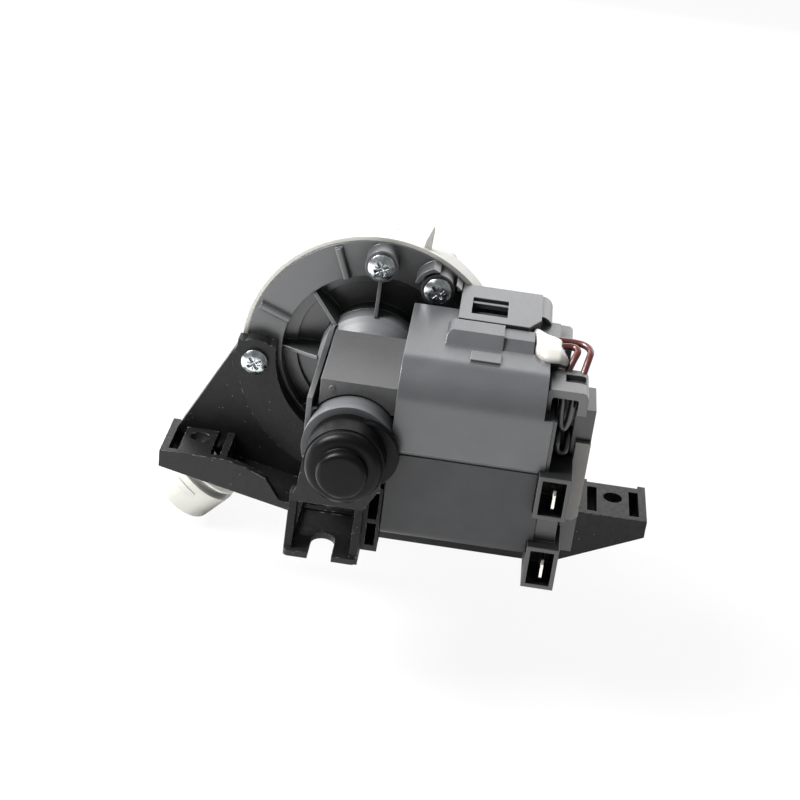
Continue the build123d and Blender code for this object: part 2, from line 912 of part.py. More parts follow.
def volute_seal_ring():
    outer = spigot_r + seat_clearance / 2
    inner = spigot_r - seal_groove + seat_clearance
    end = seal_groove_at + seal_groove_width
    ring = rod(outer, seal_groove_at + seat_clearance, end - seat_clearance)
    return ring - rod(inner, seal_groove_at - overrun, end + overrun)


# Screws
def screw(under_head, x, z):
    """A pan-head screw along Y with a cross slot."""
    crown_r = screw_head_r * screw_crown_share
    head = turned((0, -screw_head_height), (crown_r, -screw_head_height),
                  (screw_head_r, -screw_head_edge), (screw_head_r, 0), (0, 0))
    for turn in (cross_turn, cross_turn + 90):
        slot = block(-cross_slot_length / 2, cross_slot_length / 2, -screw_head_height - overrun,
                     -screw_head_height + cross_slot_depth,
                     -cross_slot_width / 2, cross_slot_width / 2)
        head -= Rot(0, turn, 0) * slot
    shank = rod(screw_shank_r, 0, screw_length)
    return Pos(x, under_head, z) * (head + shank)


def cover_screws():
    return [screw(-screw_boss_height, x, z) for x, z in cover_screw_places]


def bracket_screws():
    under_head = -bracket_back_wall - arm_plate_step
    return [screw(under_head, x, z) for x, z in bracket_screw_places]


# Tail boot
def round_plug(radius, y0, y1, edge):
    """A cylinder along Y whose front edge is rounded."""
    plug = rod(radius, y0, y1)
    return fillet(plug.edges().sort_by(Axis.Y)[0], edge)


def tail_boot():
    """A rubber cap on the can's end, with the groove that the upright holds."""
    dome_front = boot_front - dome_length
    body = rod(boot_r, boot_front, can_end)
    body += round_plug(dome_r, dome_front, boot_front, dome_edge_r)
    body += round_plug(nose_r, dome_front - nose_length, dome_front, nose_edge_r)
    body += rod(lobe_r, upright_back, can_end - lobe_rear_gap, lobe_x, lobe_z)
    reach = boot_r + overrun
    lower = outline((-reach, -reach), (reach, -reach), (reach, upright_top + seat_clearance),
                    (-reach, upright_top + seat_clearance))
    groove = slab((Circle(reach) - Circle(groove_r)) & lower, upright_front, upright_back)
    return body - groove


# Stator
def stator_core():
    """A stack of U-shaped laminations whose poles close round the rotor can."""
    flat = outline((core_left, -core_half_height), (yoke_right, -core_half_height),
                   (yoke_right, core_half_height), (core_left, core_half_height))
    inner = core_half_height - core_leg
    flat -= outline((core_left - overrun, -inner), (yoke_right - yoke_width, -inner),
                    (yoke_right - yoke_width, inner), (core_left - overrun, inner))
    flat -= Circle(core_bore_r)
    stack = slab(flat, core_front, core_back)
    stack += rod(pip_r, core_front - pip_height, core_front, pip_x, pip_z)
    return stack


leg_middle = core_half_height - core_leg / 2


def bobbin(side):
    """A thin-walled spool round one leg of the core."""
    middle_y = (core_front + core_back) / 2
    half_y = (core_back - core_front) / 2 + core_clearance
    half_z = core_leg / 2 + core_clearance
    tube_y = half_y + bobbin_wall
    tube_z = half_z + bobbin_wall
    edge_y = tube_y + winding_build
    edge_z = tube_z + winding_build
    z = side * leg_middle
    spool = block(bobbin_left, bobbin_right, middle_y - tube_y, middle_y + tube_y,
                  z - tube_z, z + tube_z)
    for x in (bobbin_left, bobbin_right - bobbin_flange):
        flange = block(x, x + bobbin_flange, middle_y - edge_y, middle_y + edge_y,
                       z - edge_z, z + edge_z)
        spool += fillet(flange.edges().filter_by(Axis.X), spool_corner)
    spool -= block(bobbin_left - overrun, bobbin_right + overrun, middle_y - half_y,
                   middle_y + half_y, z - half_z, z + half_z)
    return spool


def winding(side):
    """The wound wire between the spool's flanges, as one ring."""
    middle_y = (core_front + core_back) / 2
    inner_y = (core_back - core_front) / 2 + core_clearance + bobbin_wall
    inner_z = core_leg / 2 + core_clearance + bobbin_wall
    z = side * leg_middle
    left = bobbin_left + bobbin_flange
    right = bobbin_right - bobbin_flange
    build = winding_build - core_clearance
    ring = block(left, right, middle_y - inner_y - build, middle_y + inner_y + build,
                 z - inner_z - build, z + inner_z + build)
    ring = fillet(ring.edges().filter_by(Axis.X), spool_corner)
    return ring - block(left - overrun, right + overrun, middle_y - inner_y, middle_y + inner_y,
                        z - inner_z, z + inner_z)


# Coil housings
def housing_half(side):
    """One thin-walled half shell of the coil housing, open towards the other half."""
    top = side * housing_half_height
    low, high = min(0, top), max(0, top)
    outer = block(housing_left, housing_right, housing_front, housing_back, low, high)
    brow = outer.edges().filter_by(Axis.X).group_by(Axis.Y)[0].sort_by(Axis.Z)
    brow_edge = brow[-1] if side > 0 else brow[0]
    outer = fillet(brow_edge, housing_brow_r if side > 0 else housing_edge_r)
    wall = housing_wall
    hollow = block(housing_left + wall, housing_right - housing_end_wall, housing_front + wall,
                   housing_back - wall, low - overrun if side > 0 else low + wall,
                   high - wall if side > 0 else high + overrun)
    hollow_edge = hollow.edges().filter_by(Axis.X).group_by(Axis.Y)[0].sort_by(Axis.Z)
    if side > 0:
        hollow = fillet(hollow_edge[-1], housing_brow_r - wall)
    shell = outer - hollow
    inner = core_half_height - core_leg - core_clearance
    way_low, way_high = sorted((side * inner, side * (core_half_height + core_clearance)))
    shell -= block(housing_left - overrun, housing_left + wall + overrun,
                   core_front - core_clearance, core_back + core_clearance, way_low, way_high)
    shell -= rod(can_rim_r + moving_clearance, housing_front - overrun, housing_back + overrun)
    for socket_z in shroud_heights:
        reach = shroud_height / 2 + core_clearance
        shell -= block(shroud_x - shroud_width / 2 - core_clearance, housing_right + overrun,
                       housing_front - overrun, shroud_back + core_clearance,
                       socket_z - reach, socket_z + reach)
    return shell


def catch_part(left, right, top, front):
    """A block on the housing's top whose front face slopes down to it."""
    base = housing_half_height - housing_wall / 2
    side = outline((catch_back, base), (catch_back, top), (front + catch_slope, top),
                   (front, housing_half_height), (front, base))
    return extrude(Plane.YZ.offset(left) * side, right - left, dir=(1, 0, 0))


def catch_block():
    """The raised catch in front of the strap, and the small pad before it."""
    base = housing_half_height - housing_wall / 2
    top = housing_half_height + catch_height
    left = catch_part(catch_left, catch_split, top, catch_front)
    left = fillet(left.edges().filter_by(Axis.Y).group_by(Axis.Z)[-1].sort_by(Axis.X)[0],
                  catch_edge_r)
    right = catch_part(catch_split, catch_right, top - catch_drop, catch_front + catch_drop)
    pad = block(tab_pad_left, tab_pad_right, tab_pad_front, tab_pad_front + tab_pad_width, base,
                housing_half_height + tab_pad_height)
    return left + right + pad


def housing_upper():
    shell = housing_half(1)
    shell += catch_block()
    ledge = block(ledge_left, ledge_right, ledge_front, ledge_back, ledge_bottom, ledge_top)
    ledge = fillet(ledge.edges().filter_by(Axis.Y).group_by(Axis.X)[-1], ledge_corner)
    shell += ledge - block(housing_left, housing_right - housing_end_wall / 2, housing_front,
                           housing_back - housing_wall / 2, -overrun, housing_half_height)
    shell -= block(cap_left - core_clearance, housing_right + overrun, housing_front - overrun,
                   cap_back + core_clearance, cap_bottom - core_clearance,
                   housing_half_height + overrun)
    shell -= block(housing_left - overrun, housing_right + overrun, housing_front - overrun,
                   housing_front + seam_groove, -overrun, seam_groove_width)
    return shell


def housing_lower():
    return housing_half(-1)


# Thermal protector and leads
def route(run, top):
    """A lead's points, from the housing's right end and front face and a height."""
    return [(housing_right + x, housing_front + y, top + z) for x, y, z in run]


lead_route_1 = route(lead_run_1, housing_half_height)
lead_route_2 = route(lead_run_2, housing_half_height)
coil_route_1 = route(coil_run_1, cap_bottom)
coil_route_2 = route(coil_run_2, cap_bottom)


def thermal_protector():
    z = housing_half_height
    return block(protector_x - protector_width / 2, protector_x + protector_width / 2,
                 protector_y - protector_length / 2, protector_y + protector_length / 2,
                 z, z + protector_height)


def protector_lead_1():
    return tube(lead_route_1, lead_r)


def protector_lead_2():
    return tube(lead_route_2, lead_r)


def sealant_bead():
    """The lens of sealant over the protector, from which its leads come out."""
    dome = Sphere(bead_height).scale((bead_rx / bead_height, bead_ry / bead_height, 1))
    dome = Pos(bead_x, bead_y, housing_half_height) * dome
    under = housing_half_height - bead_height - overrun
    dome -= block(housing_left, housing_right + seat_clearance, housing_front, housing_back,
                  under, housing_half_height)
    dome -= block(housing_left, housing_right + bead_rx, housing_front,
                  cap_back + seat_clearance, under, housing_half_height)
    dome -= block(catch_left, catch_right + seat_clearance, catch_front - overrun, catch_back,
                  under, housing_half_height + catch_height)
    for points in (lead_route_1, lead_route_2):
        dome -= tube(points, lead_r + seat_clearance)
    return dome - thermal_protector()


# Terminal end
shroud_heights = (shroud_z, shroud_z - shroud_pitch)


def lead_cap():
    """The hood over the coil leads, slotted on top and open in front."""
    cap = block(cap_left, cap_right, cap_front, cap_back, cap_bottom, cap_top)
    top_edges = cap.edges().filter_by(Axis.Y).group_by(Axis.Z)[-1].sort_by(Axis.X)
    cap = fillet(top_edges[0], cap_left_edge_r)
    top_edges = cap.edges().filter_by(Axis.Y).group_by(Axis.Z)[-1].sort_by(Axis.X)
    cap = fillet(top_edges[-1], cap_right_edge_r)
    arch = block(cap_left + cap_side_left, cap_right - cap_side_right, cap_front - overrun,
                 cap_back - cap_arch_wall, cap_bottom - overrun, cap_top - cap_roof)
    arch = fillet(arch.edges().filter_by(Axis.Y).group_by(Axis.Z)[-1], cap_arch_r)
    cap -= arch
    slot_left = cap_left + cap_slot_inset
    slot_back = cap_back - cap_slot_from_back
    cap -= block(slot_left, slot_left + cap_slot_length, slot_back - cap_slot_width, slot_back,
                 cap_top - cap_slot_depth, cap_top + overrun)
    for points in (lead_route_1, lead_route_2):
        cap -= tube(points, lead_r + seat_clearance)
    return cap


def shroud(z):
    """One open socket round a spade."""
    half_w = shroud_width / 2
    half_h = shroud_height / 2
    outer = block(shroud_x - half_w, shroud_x + half_w, shroud_front, shroud_back,
                  z - half_h, z + half_h)
    inner = block(shroud_x - half_w + shroud_wall, shroud_x + half_w - shroud_wall,
                  shroud_front - overrun, shroud_back - shroud_floor,
                  z - half_h + shroud_wall, z + half_h - shroud_wall)
    return outer - inner


def terminal_holder():
    """The moulding at the coil housing's end: spine, lead recess, two sockets and a neck."""
    left = housing_right + seat_clearance
    spine = block(left, spine_right, spine_front, spine_back, spine_bottom, spine_top)
    recess = block(left, recess_right, recess_back - recess_wall, spine_back, spine_bottom,
                   recess_top)
    wall = block(left, left + recess_wall, wall_front, spine_back, recess_bottom, recess_top)
    spine += recess + wall
    spine -= block(left + recess_wall, recess_right, wall_front, recess_back, recess_bottom,
                   recess_top + overrun)
    for z in shroud_heights:
        spine += shroud(z)
    low, high = shroud_heights[1], shroud_heights[0]
    spine += block(shroud_x - neck_width / 2, shroud_x + neck_width / 2, neck_front, spine_front,
                   low + shroud_height / 2, high - shroud_height / 2)
    for z in shroud_heights:
        spine -= spade(z, seat_clearance)
    return spine


def spade(z, grow=0.0):
    """A flat tab with bevelled tip corners whose root sits in the holder."""
    x = shroud_x + spade_offset
    middle = z - spade_drop
    half = spade_width / 2 + grow
    front = shroud_front + spade_tip_gap
    back = shroud_back - shroud_floor + spade_root + grow
    flat = outline((back, middle - half), (back, middle + half), (front + spade_tip, middle + half),
                   (front, middle + half - spade_tip), (front, middle - half + spade_tip),
                   (front + spade_tip, middle - half))
    return extrude(Plane.YZ.offset(x) * flat, spade_thickness / 2 + grow, both=True)


def spade_terminals():
    return [spade(z) for z in shroud_heights]


def coil_leads():
    """Two hairpins of coil wire in the recess under the cap."""
    return [tube(coil_route_1, coil_lead_r), tube(coil_route_2, coil_lead_r)]


def end_plate():
    plate = block(plate_left, spine_right, spine_front - plate_thickness, spine_front,
                  plate_bottom, plate_top)
    corner = plate.edges().filter_by(Axis.Y).sort_by(Axis.X)[-2:].sort_by(Axis.Z)[0]
    return chamfer(corner, plate_corner)


# Mounting bracket
foot_right_x = foot_left_x + foot_spacing
pad_side = pad_width / 2 + pad_groove + foot_end_wall
bracket_left = foot_left_x - pad_side
bracket_right = foot_right_x + pad_side
skirt_low = foot_top - skirt_drop


def skirt_outline(lift=0.0):
    """The skirt's lower edge from the left foot to the right, raised by a thickness."""
    end = foot_top - skirt_end_height
    return [(bracket_left, end + lift), (skirt_flat_left, skirt_low + lift),
            (skirt_flat_right, skirt_low + lift), (bracket_right, end + lift)]


def skirt_at(x):
    """The height of the skirt's lower edge at a station along it."""
    edge = skirt_outline()
    for (x0, z0), (x1, z1) in zip(edge, edge[1:]):
        if x0 <= x <= x1:
            return z0 + (z1 - z0) * (x - x0) / (x1 - x0)
    return skirt_low


eye_x, eye_z = bracket_screw_places[0]
second_x, second_z = bracket_screw_places[1]


def bracket_back():
    """The back plate: skirt, web of the left arm and the eye round its screw."""
    edge = math.radians(eye_tangent_angle)
    tangent = (eye_x + eye_r * math.cos(edge), eye_z + eye_r * math.sin(edge))
    web = outline(*skirt_outline(), (bracket_right, foot_top), (skirt_flat_right, foot_top),
                  on_circle(arm_plate_r, web_edge_angle), (0, 0), (eye_x, eye_z), tangent,
                  (bracket_left + foot_end_wall, foot_top), (bracket_left, foot_top))
    web += Pos(eye_x, eye_z) * Circle(eye_r)
    web -= Circle(arm_plate_inner_r)
    plate = slab(web, -bracket_back_wall, 0)
    return plate + rod(second_eye_r, -bracket_back_wall - arm_plate_step, 0, second_x, second_z)


def bracket_arm():
    """The nearer plate that follows the flange from the eye down to the skirt."""
    middle = (arm_from + arm_to) / 2
    sector = wedge(arm_plate_r, arm_from, middle) + wedge(arm_plate_r, middle, arm_to)
    sector += Pos(eye_x, eye_z) * Circle(eye_r)
    sector -= Circle(arm_plate_inner_r)
    return slab(sector, -bracket_back_wall - arm_plate_step, 0)


def front_wall(outer_x, flat_x, side):
    """The skirt's front wall beside one foot, falling to a tip on the lower edge."""
    pad_end = outer_x - side * (pad_side + pad_width / 2 + pad_groove + foot_rib)
    tip_x = pad_end - side * wall_fall_length
    tip_z = skirt_at(tip_x) + wall_end_rise
    points = [(outer_x, foot_top - skirt_end_height), (outer_x, foot_top), (pad_end, foot_top)]
    for along, down in wall_fall_shares:
        points.append((pad_end + (tip_x - pad_end) * along,
                       foot_top + (tip_z - foot_top) * down))
    points.append((tip_x, skirt_at(tip_x)))
    if side > 0:
        points.append((flat_x, skirt_low))
    return slab(outline(*points), skirt_front, skirt_front + skirt_wall)


def bracket_skirt():
    """The floor along the lower edge and the front walls that stand on it."""
    lower = skirt_outline()
    upper = skirt_outline(skirt_floor)
    floor = slab(outline(*lower, *reversed(upper)), skirt_front, 0)
    floor += front_wall(bracket_left, skirt_flat_left, -1)
    floor += front_wall(bracket_right, skirt_flat_right, 1)
    return floor


def foot(x, outer_side):
    """A screw pad between two open grooves, with a rib and an end wall."""
    low = foot_top - pad_thickness
    half = pad_width / 2
    pad = block(x - half, x + half, -pad_depth, 0, low, foot_top)
    inner_side = -outer_side
    rib_near = x + inner_side * (half + pad_groove)
    rib_far = rib_near + inner_side * foot_rib
    rib = block(min(rib_near, rib_far), max(rib_near, rib_far), skirt_front, foot_back_lip,
                foot_top - skirt_end_height, foot_top)
    end_near = x + outer_side * (half + pad_groove)
    end_far = end_near + outer_side * foot_end_wall
    end = block(min(end_near, end_far), max(end_near, end_far), skirt_front, foot_back_lip,
                foot_top - skirt_end_height, foot_top)
    return pad + rib + end


def tab_side(x):
    """A side wall that carries the cradle on the tab."""
    high = cradle_bottom + tab_side_top
    side = outline((upright_back + tab_side_depth, tab_top - tab_thickness),
                   (upright_back + tab_side_depth, high), (upright_front, high),
                   (upright_front, cradle_bottom), (tab_front + tab_corner_r, tab_top),
                   (tab_front + tab_corner_r, tab_top - tab_thickness))
    return extrude(Plane.YZ.offset(x) * side, tab_side_wall, dir=(1, 0, 0))


def tail_upright():
    """The cradle round the boot's groove, its side walls and the slotted tab."""
    flat = outline((tab_left, cradle_bottom), (upright_left, cradle_bottom + cradle_flare),
                   (upright_left + upright_lean, upright_top), (upright_right, upright_top),
                   (upright_right, upright_shoulder), (tab_right, cradle_bottom))
    flat -= Circle(groove_r + seat_clearance)
    plate = slab(flat, upright_front, upright_back)
    low = tab_top - tab_thickness
    tab = block(tab_left, tab_right, tab_front, tab_back, low, tab_top)
    tab = fillet(tab.edges().filter_by(Axis.Z).group_by(Axis.Y)[0], tab_corner_r)
    plate += tab_side(tab_left) + tab_side(tab_right - tab_side_wall)
    slot_x = (tab_left + tab_right) / 2
    slot = block(slot_x - tab_slot_r, slot_x + tab_slot_r, tab_front - overrun, tab_slot_y,
                 low - overrun, tab_top + overrun)
    slot += post(tab_slot_r, slot_x, tab_slot_y, low - overrun, tab_top + overrun)
    return plate + (tab - slot)


def tail_beam():
    """The ribbed beam under the can that joins the upright to the skirt."""
    low = beam_floor_top - beam_floor
    beam = block(tab_left, tab_right, beam_floor_front, 0, low, beam_floor_top)
    beam += block(tab_right - beam_rib, beam_right, ladder_front, 0, low, beam_floor_top)
    beam += block(tab_left, tab_right, tab_back - cross_wall, tab_back, low,
                  tab_top + cross_rise)
    for x in (tab_left, tab_right - beam_rib):
        beam += block(x, x + beam_rib, upright_back, 0, low, beam_rib_top)
    ladder = block(tab_right - beam_rib, beam_right, ladder_front,
                   ladder_front + ladder_thickness, low, ladder_top)
    for z0, z1 in ((ladder_bar_top, ladder_top - ladder_stile),
                   (beam_floor_top, ladder_bar_top - ladder_bar)):
        ladder -= block(tab_right + ladder_stile, beam_right - ladder_stile,
                        ladder_front - overrun, ladder_front + ladder_thickness + overrun, z0, z1)
    return beam + ladder


def mount_bracket():
    body = bracket_back() + bracket_arm() + bracket_skirt()
    body += foot(foot_left_x, -1)
    body += foot(foot_right_x, 1)
    body += tail_upright()
    body += tail_beam()
    pad_low = foot_top - pad_thickness
    for x in (foot_left_x, foot_right_x):
        body -= post(foot_hole_r, x, foot_y, pad_low - overrun, foot_top + overrun)
        body -= post(foot_access_r, x, foot_y, skirt_low - overrun, pad_low)
    hole_r = screw_shank_r + screw_hole_clearance
    for x, z in bracket_screw_places:
        body -= rod(hole_r, -bracket_back_wall - arm_plate_step - overrun, overrun, x, z)
    return body


# Writing the pieces
origin_shift = Pos(-(foot_left_x + foot_right_x) / 2, -foot_y, -foot_top)


def write(name, shape):
    """Writes one piece, or a group of like pieces, to its own file."""
    pieces = shape if isinstance(shape, list) else [shape]
    moved = [origin_shift * piece for piece in pieces]
    solids = [solid for piece in moved for solid in piece.solids()]
    whole = Compound(children=solids) if len(solids) > 1 else solids[0]
    export_step(whole, f"parts/{name}.step")


pieces = {
    "mount_bracket": mount_bracket(),
    "tail_boot": tail_boot(),
    "volute": volute(),
    "volute_seal_ring": volute_seal_ring(),
    "pump_cover": pump_cover(),
    "rotor_can": rotor_can(),
    "cover_screws": cover_screws(),
    "bracket_screws": bracket_screws(),
    "impeller": impeller(),
    "impeller_hub_cap": impeller_hub_cap(),
    "coupling_damper": coupling_damper(),
    "drive_dog": drive_dog(),
    "rotor_shaft": rotor_shaft(),
    "rotor_magnet": rotor_magnet(),
    "rotor_carrier": rotor_carrier(),
    "front_thrust_washer": washer(front_washer_y),
    "rear_thrust_washer": washer(rear_washer_y),
    "front_bearing": bearing(front_bearing_y),
    "rear_bearing": bearing(rear_bearing_y),
    "front_bearing_seat": bearing_seat(front_bearing_y, plug_front),
    "rear_bearing_seat": bearing_seat(can_end + can_wall, rear_bearing_y + bearing_length),
    "chamber_plug": chamber_plug(),
    "shaft_seal": shaft_seal(),
    "stator_core": stator_core(),
    "upper_bobbin": bobbin(1),
    "lower_bobbin": bobbin(-1),
    "upper_winding": winding(1),
    "lower_winding": winding(-1),
    "housing_upper": housing_upper(),
    "housing_lower": housing_lower(),
    "thermal_protector": thermal_protector(),
    "sealant_bead": sealant_bead(),
    "protector_lead_1": protector_lead_1(),
    "protector_lead_2": protector_lead_2(),
    "coil_leads": coil_leads(),
    "lead_cap": lead_cap(),
    "terminal_holder": terminal_holder(),
    "spade_terminals": spade_terminals(),
    "end_plate": end_plate(),
}

for name, shape in pieces.items():
    write(name, shape)
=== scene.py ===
"""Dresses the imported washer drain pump: finishes, screws, tail boot, sealant, leads and stage."""
import math

import bpy
import numpy as np
from bpy.props import FloatProperty, FloatVectorProperty, IntProperty, PointerProperty
from bpy.types import Operator, Panel, PropertyGroup
from mathutils import Matrix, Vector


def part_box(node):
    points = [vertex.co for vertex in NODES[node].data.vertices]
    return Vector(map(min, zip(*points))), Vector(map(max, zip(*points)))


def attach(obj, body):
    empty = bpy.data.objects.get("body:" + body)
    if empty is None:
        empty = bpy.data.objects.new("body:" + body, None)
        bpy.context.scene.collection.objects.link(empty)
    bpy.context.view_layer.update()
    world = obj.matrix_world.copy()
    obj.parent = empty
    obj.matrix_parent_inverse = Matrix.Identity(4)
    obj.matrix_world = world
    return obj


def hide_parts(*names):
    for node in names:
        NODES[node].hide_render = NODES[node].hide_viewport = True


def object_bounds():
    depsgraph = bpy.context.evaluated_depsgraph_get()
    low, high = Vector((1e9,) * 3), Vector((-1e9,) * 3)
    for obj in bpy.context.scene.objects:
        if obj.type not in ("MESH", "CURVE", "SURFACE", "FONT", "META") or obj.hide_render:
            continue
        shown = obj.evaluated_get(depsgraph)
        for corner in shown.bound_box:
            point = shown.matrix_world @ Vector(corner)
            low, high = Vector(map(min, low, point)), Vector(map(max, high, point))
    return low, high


bl_info = {
    "name": "Washer Drain Pump",
    "version": (1, 0, 0),
    "blender": (4, 5, 0),
    "location": "3D View > Sidebar > Drain Pump",
    "description": "Finishes, screws, boot, sealant and leads for a washer drain pump",
    "category": "Object",
}

MM = 0.001

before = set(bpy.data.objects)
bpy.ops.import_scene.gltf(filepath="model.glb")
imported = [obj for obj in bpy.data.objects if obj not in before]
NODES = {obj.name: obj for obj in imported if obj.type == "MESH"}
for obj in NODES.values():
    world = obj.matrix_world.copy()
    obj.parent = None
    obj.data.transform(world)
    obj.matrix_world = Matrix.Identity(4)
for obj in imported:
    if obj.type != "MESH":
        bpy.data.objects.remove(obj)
CAD_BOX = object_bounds()
shaft_low, shaft_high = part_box("rotor_shaft")
SHAFT_FRONT = 22.5
PUMP_ORIGIN = np.array([(shaft_low.x + shaft_high.x) / 2, shaft_high.y - SHAFT_FRONT * MM,
                        (shaft_low.z + shaft_high.z) / 2])


# Sizes and colours that a user would change

class PumpSizes(PropertyGroup):
    """Sizes of the pieces that this file adds, in metres."""

    screw_head_radius: FloatProperty(name="Screw head radius", default=0.0041, unit="LENGTH",
                                     description="Radius of the pan heads")
    screw_head_height: FloatProperty(name="Screw head height", default=0.0023, unit="LENGTH",
                                     description="Crown of the pan heads above their seat")
    recess_depth: FloatProperty(name="Cross recess depth", default=0.0013, unit="LENGTH",
                                description="Depth of the cross recess at the middle")
    thread_pitch: FloatProperty(name="Thread pitch", default=0.0012, unit="LENGTH",
                                description="Distance between two turns of the thread")
    lead_diameter: FloatProperty(name="Protector lead diameter", default=0.0020,
                                 unit="LENGTH", description="Over the insulation")
    coil_lead_diameter: FloatProperty(name="Coil lead diameter", default=0.0019,
                                      unit="LENGTH", description="Over the dark sleeve")
    edge_radius: FloatProperty(name="Moulded edge radius", default=0.00035, unit="LENGTH",
                               description="Rounding that the finish gives to moulded edges")
    sheet_thickness: FloatProperty(name="Core sheet thickness", default=0.0005,
                                   unit="LENGTH", description="One lamination of the core")


def colour_property(name, value, text):
    """A colour in linear light, as a property."""
    return FloatVectorProperty(name=name, default=value, size=3, min=0.0, max=1.0,
                               subtype="COLOR", description=text)


class PumpColours(PropertyGroup):
    """Colours of the pump's finishes, in linear light."""

    cover: colour_property("Cover grey", (0.060, 0.062, 0.065), "Pump cover")
    housing: colour_property("Housing grey", (0.062, 0.064, 0.068), "Coil housings")
    bracket: colour_property("Bracket black", (0.005, 0.005, 0.0052), "Mounting bracket")
    rubber: colour_property("Rubber black", (0.0022, 0.0022, 0.0024), "Tail boot and seals")
    volute: colour_property("Volute white", (0.56, 0.555, 0.515), "Volute and its outlet")
    can: colour_property("Can grey", (0.115, 0.119, 0.125), "Rotor can and its shoulder")
    cap: colour_property("Cap grey", (0.082, 0.083, 0.086), "Lead cap")
    holder: colour_property("Holder grey", (0.016, 0.0165, 0.0175), "Terminal holder")
    plate: colour_property("Plate beige", (0.185, 0.176, 0.160), "End plate")
    zinc: colour_property("Zinc", (0.52, 0.55, 0.56), "Screws")
    steel: colour_property("Core steel", (0.105, 0.105, 0.107), "Stator core")
    copper: colour_property("Copper", (0.62, 0.26, 0.12), "Windings")
    sealant: colour_property("Sealant white", (0.46, 0.445, 0.42), "Sealant")
    red_sleeve: colour_property("Brown red", (0.085, 0.013, 0.009), "Protector leads")
    dark_sleeve: colour_property("Dark sleeve", (0.010, 0.010, 0.011), "Coil leads")


class PumpStage(PropertyGroup):
    """Camera and light."""

    azimuth: FloatProperty(name="Camera azimuth", default=math.radians(2.130),
                           subtype="ANGLE", description="Turn about the upright")
    elevation: FloatProperty(name="Camera elevation", default=math.radians(27.0),
                             subtype="ANGLE", description="Height above the horizon")
    roll: FloatProperty(name="Camera roll", default=math.radians(7.377), subtype="ANGLE",
                        description="Turn about the line of sight")
    distance: FloatProperty(name="Camera distance", default=0.50248, unit="LENGTH",
                            description="From the aim point to the camera")
    lens: FloatProperty(name="Lens", default=77.55, description="Focal length in millimetres")
    key_power: FloatProperty(name="Key light", default=19.0, unit="POWER",
                             description="Large soft light above and to the left")
    back_power: FloatProperty(name="Back light", default=8.0, unit="POWER",
                              description="Wide soft wall of light behind the object")
    sky_strength: FloatProperty(name="Sky strength", default=0.30,
                                description="Even light from all round")
    shadow_depth: FloatProperty(name="Floor shadow", default=0.10, min=0.0, max=1.0,
                                description="How much of the floor's shade shows")
    floor_faces: IntProperty(name="Floor faces", default=24, min=4,
                             description="Faces along each side of the floor")


def sizes():
    """The sizes set on the scene."""
    return bpy.context.scene.pump_sizes


def colours():
    """The colours set on the scene."""
    return bpy.context.scene.pump_colours


# Placing and meshing

def at_pump(points):
    """Points in millimetres about the pump axis, moved to their place in the frame in metres."""
    return np.asarray(points, float) * MM + PUMP_ORIGIN


def shell(rings):
    """One closed skin over a grid of rings.

    Row i holds ring i. Quads join a ring to the next and close round it, and a fan of triangles
    runs to the mean of the first and of the last ring. If the signed volume, a sixth of the sum
    of a . (b x c) over the triangles, comes out negative, every face is turned round.
    """
    rows, columns = rings.shape[:2]
    index = np.arange(rows * columns).reshape(rows, columns)
    after = np.roll(index, -1, axis=1)
    quads = np.stack([index[:-1], after[:-1], after[1:], index[1:]], axis=-1).reshape(-1, 4)
    start, end = rows * columns, rows * columns + 1
    first = np.stack([after[0], index[0], np.full(columns, start)], axis=-1)
    last = np.stack([index[-1], after[-1], np.full(columns, end)], axis=-1)
    points = np.vstack([rings.reshape(-1, 3), rings[0].mean(axis=0), rings[-1].mean(axis=0)])
    triangles = np.vstack([quads[:, [0, 1, 2]], quads[:, [0, 2, 3]], first, last])
    a, b, c = (points[triangles[:, k]] for k in range(3))
    if np.einsum("ij,ij->i", a, np.cross(b, c)).sum() < 0:
        quads, first, last = quads[:, ::-1], first[:, ::-1], last[:, ::-1]
    return points, quads, np.vstack([first, last])


def piece(name, shells, material, body="pump", sharp=35.0):
    """One object from closed skins, with faces over the sharp angle kept crisp."""
    points, faces, base = [], [], 0
    for own_points, quads, fans in shells:
        points.append(own_points)
        faces += (quads + base).tolist() + (fans + base).tolist()
        base += len(own_points)
    mesh = bpy.data.meshes.new(name)
    mesh.from_pydata(np.vstack(points).tolist(), [], faces)
    mesh.polygons.foreach_set("use_smooth", np.ones(len(mesh.polygons), bool))
    mesh.set_sharp_from_angle(angle=math.radians(sharp))
    mesh.validate()
    mesh.materials.append(material)
    made = bpy.data.objects.new(name, mesh)
    bpy.context.scene.collection.objects.link(made)
    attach(made, body)
    return made


def full_turn(columns):
    """Evenly spaced angles round a full turn, as one row."""
    return np.linspace(0, 2 * np.pi, columns, endpoint=False)[None, :]


def round_y(station, radius, turn, x=0.0, z=0.0):
    """Points (x + radius cos turn, station, z + radius sin turn), in millimetres."""
    return np.stack([x + radius * np.cos(turn), station + 0 * turn, z + radius * np.sin(turn)],
                    axis=-1)


def turned_rings(profile, columns=96, x=0.0, z=0.0):
    """Rings of a profile, given as station and radius, turned about an axis along Y.

    A ring is (x + radius cos t, station, z + radius sin t) for t round a full turn.
    """
    return at_pump(round_y(profile[:, :1], profile[:, 1:2], full_turn(columns), x, z))


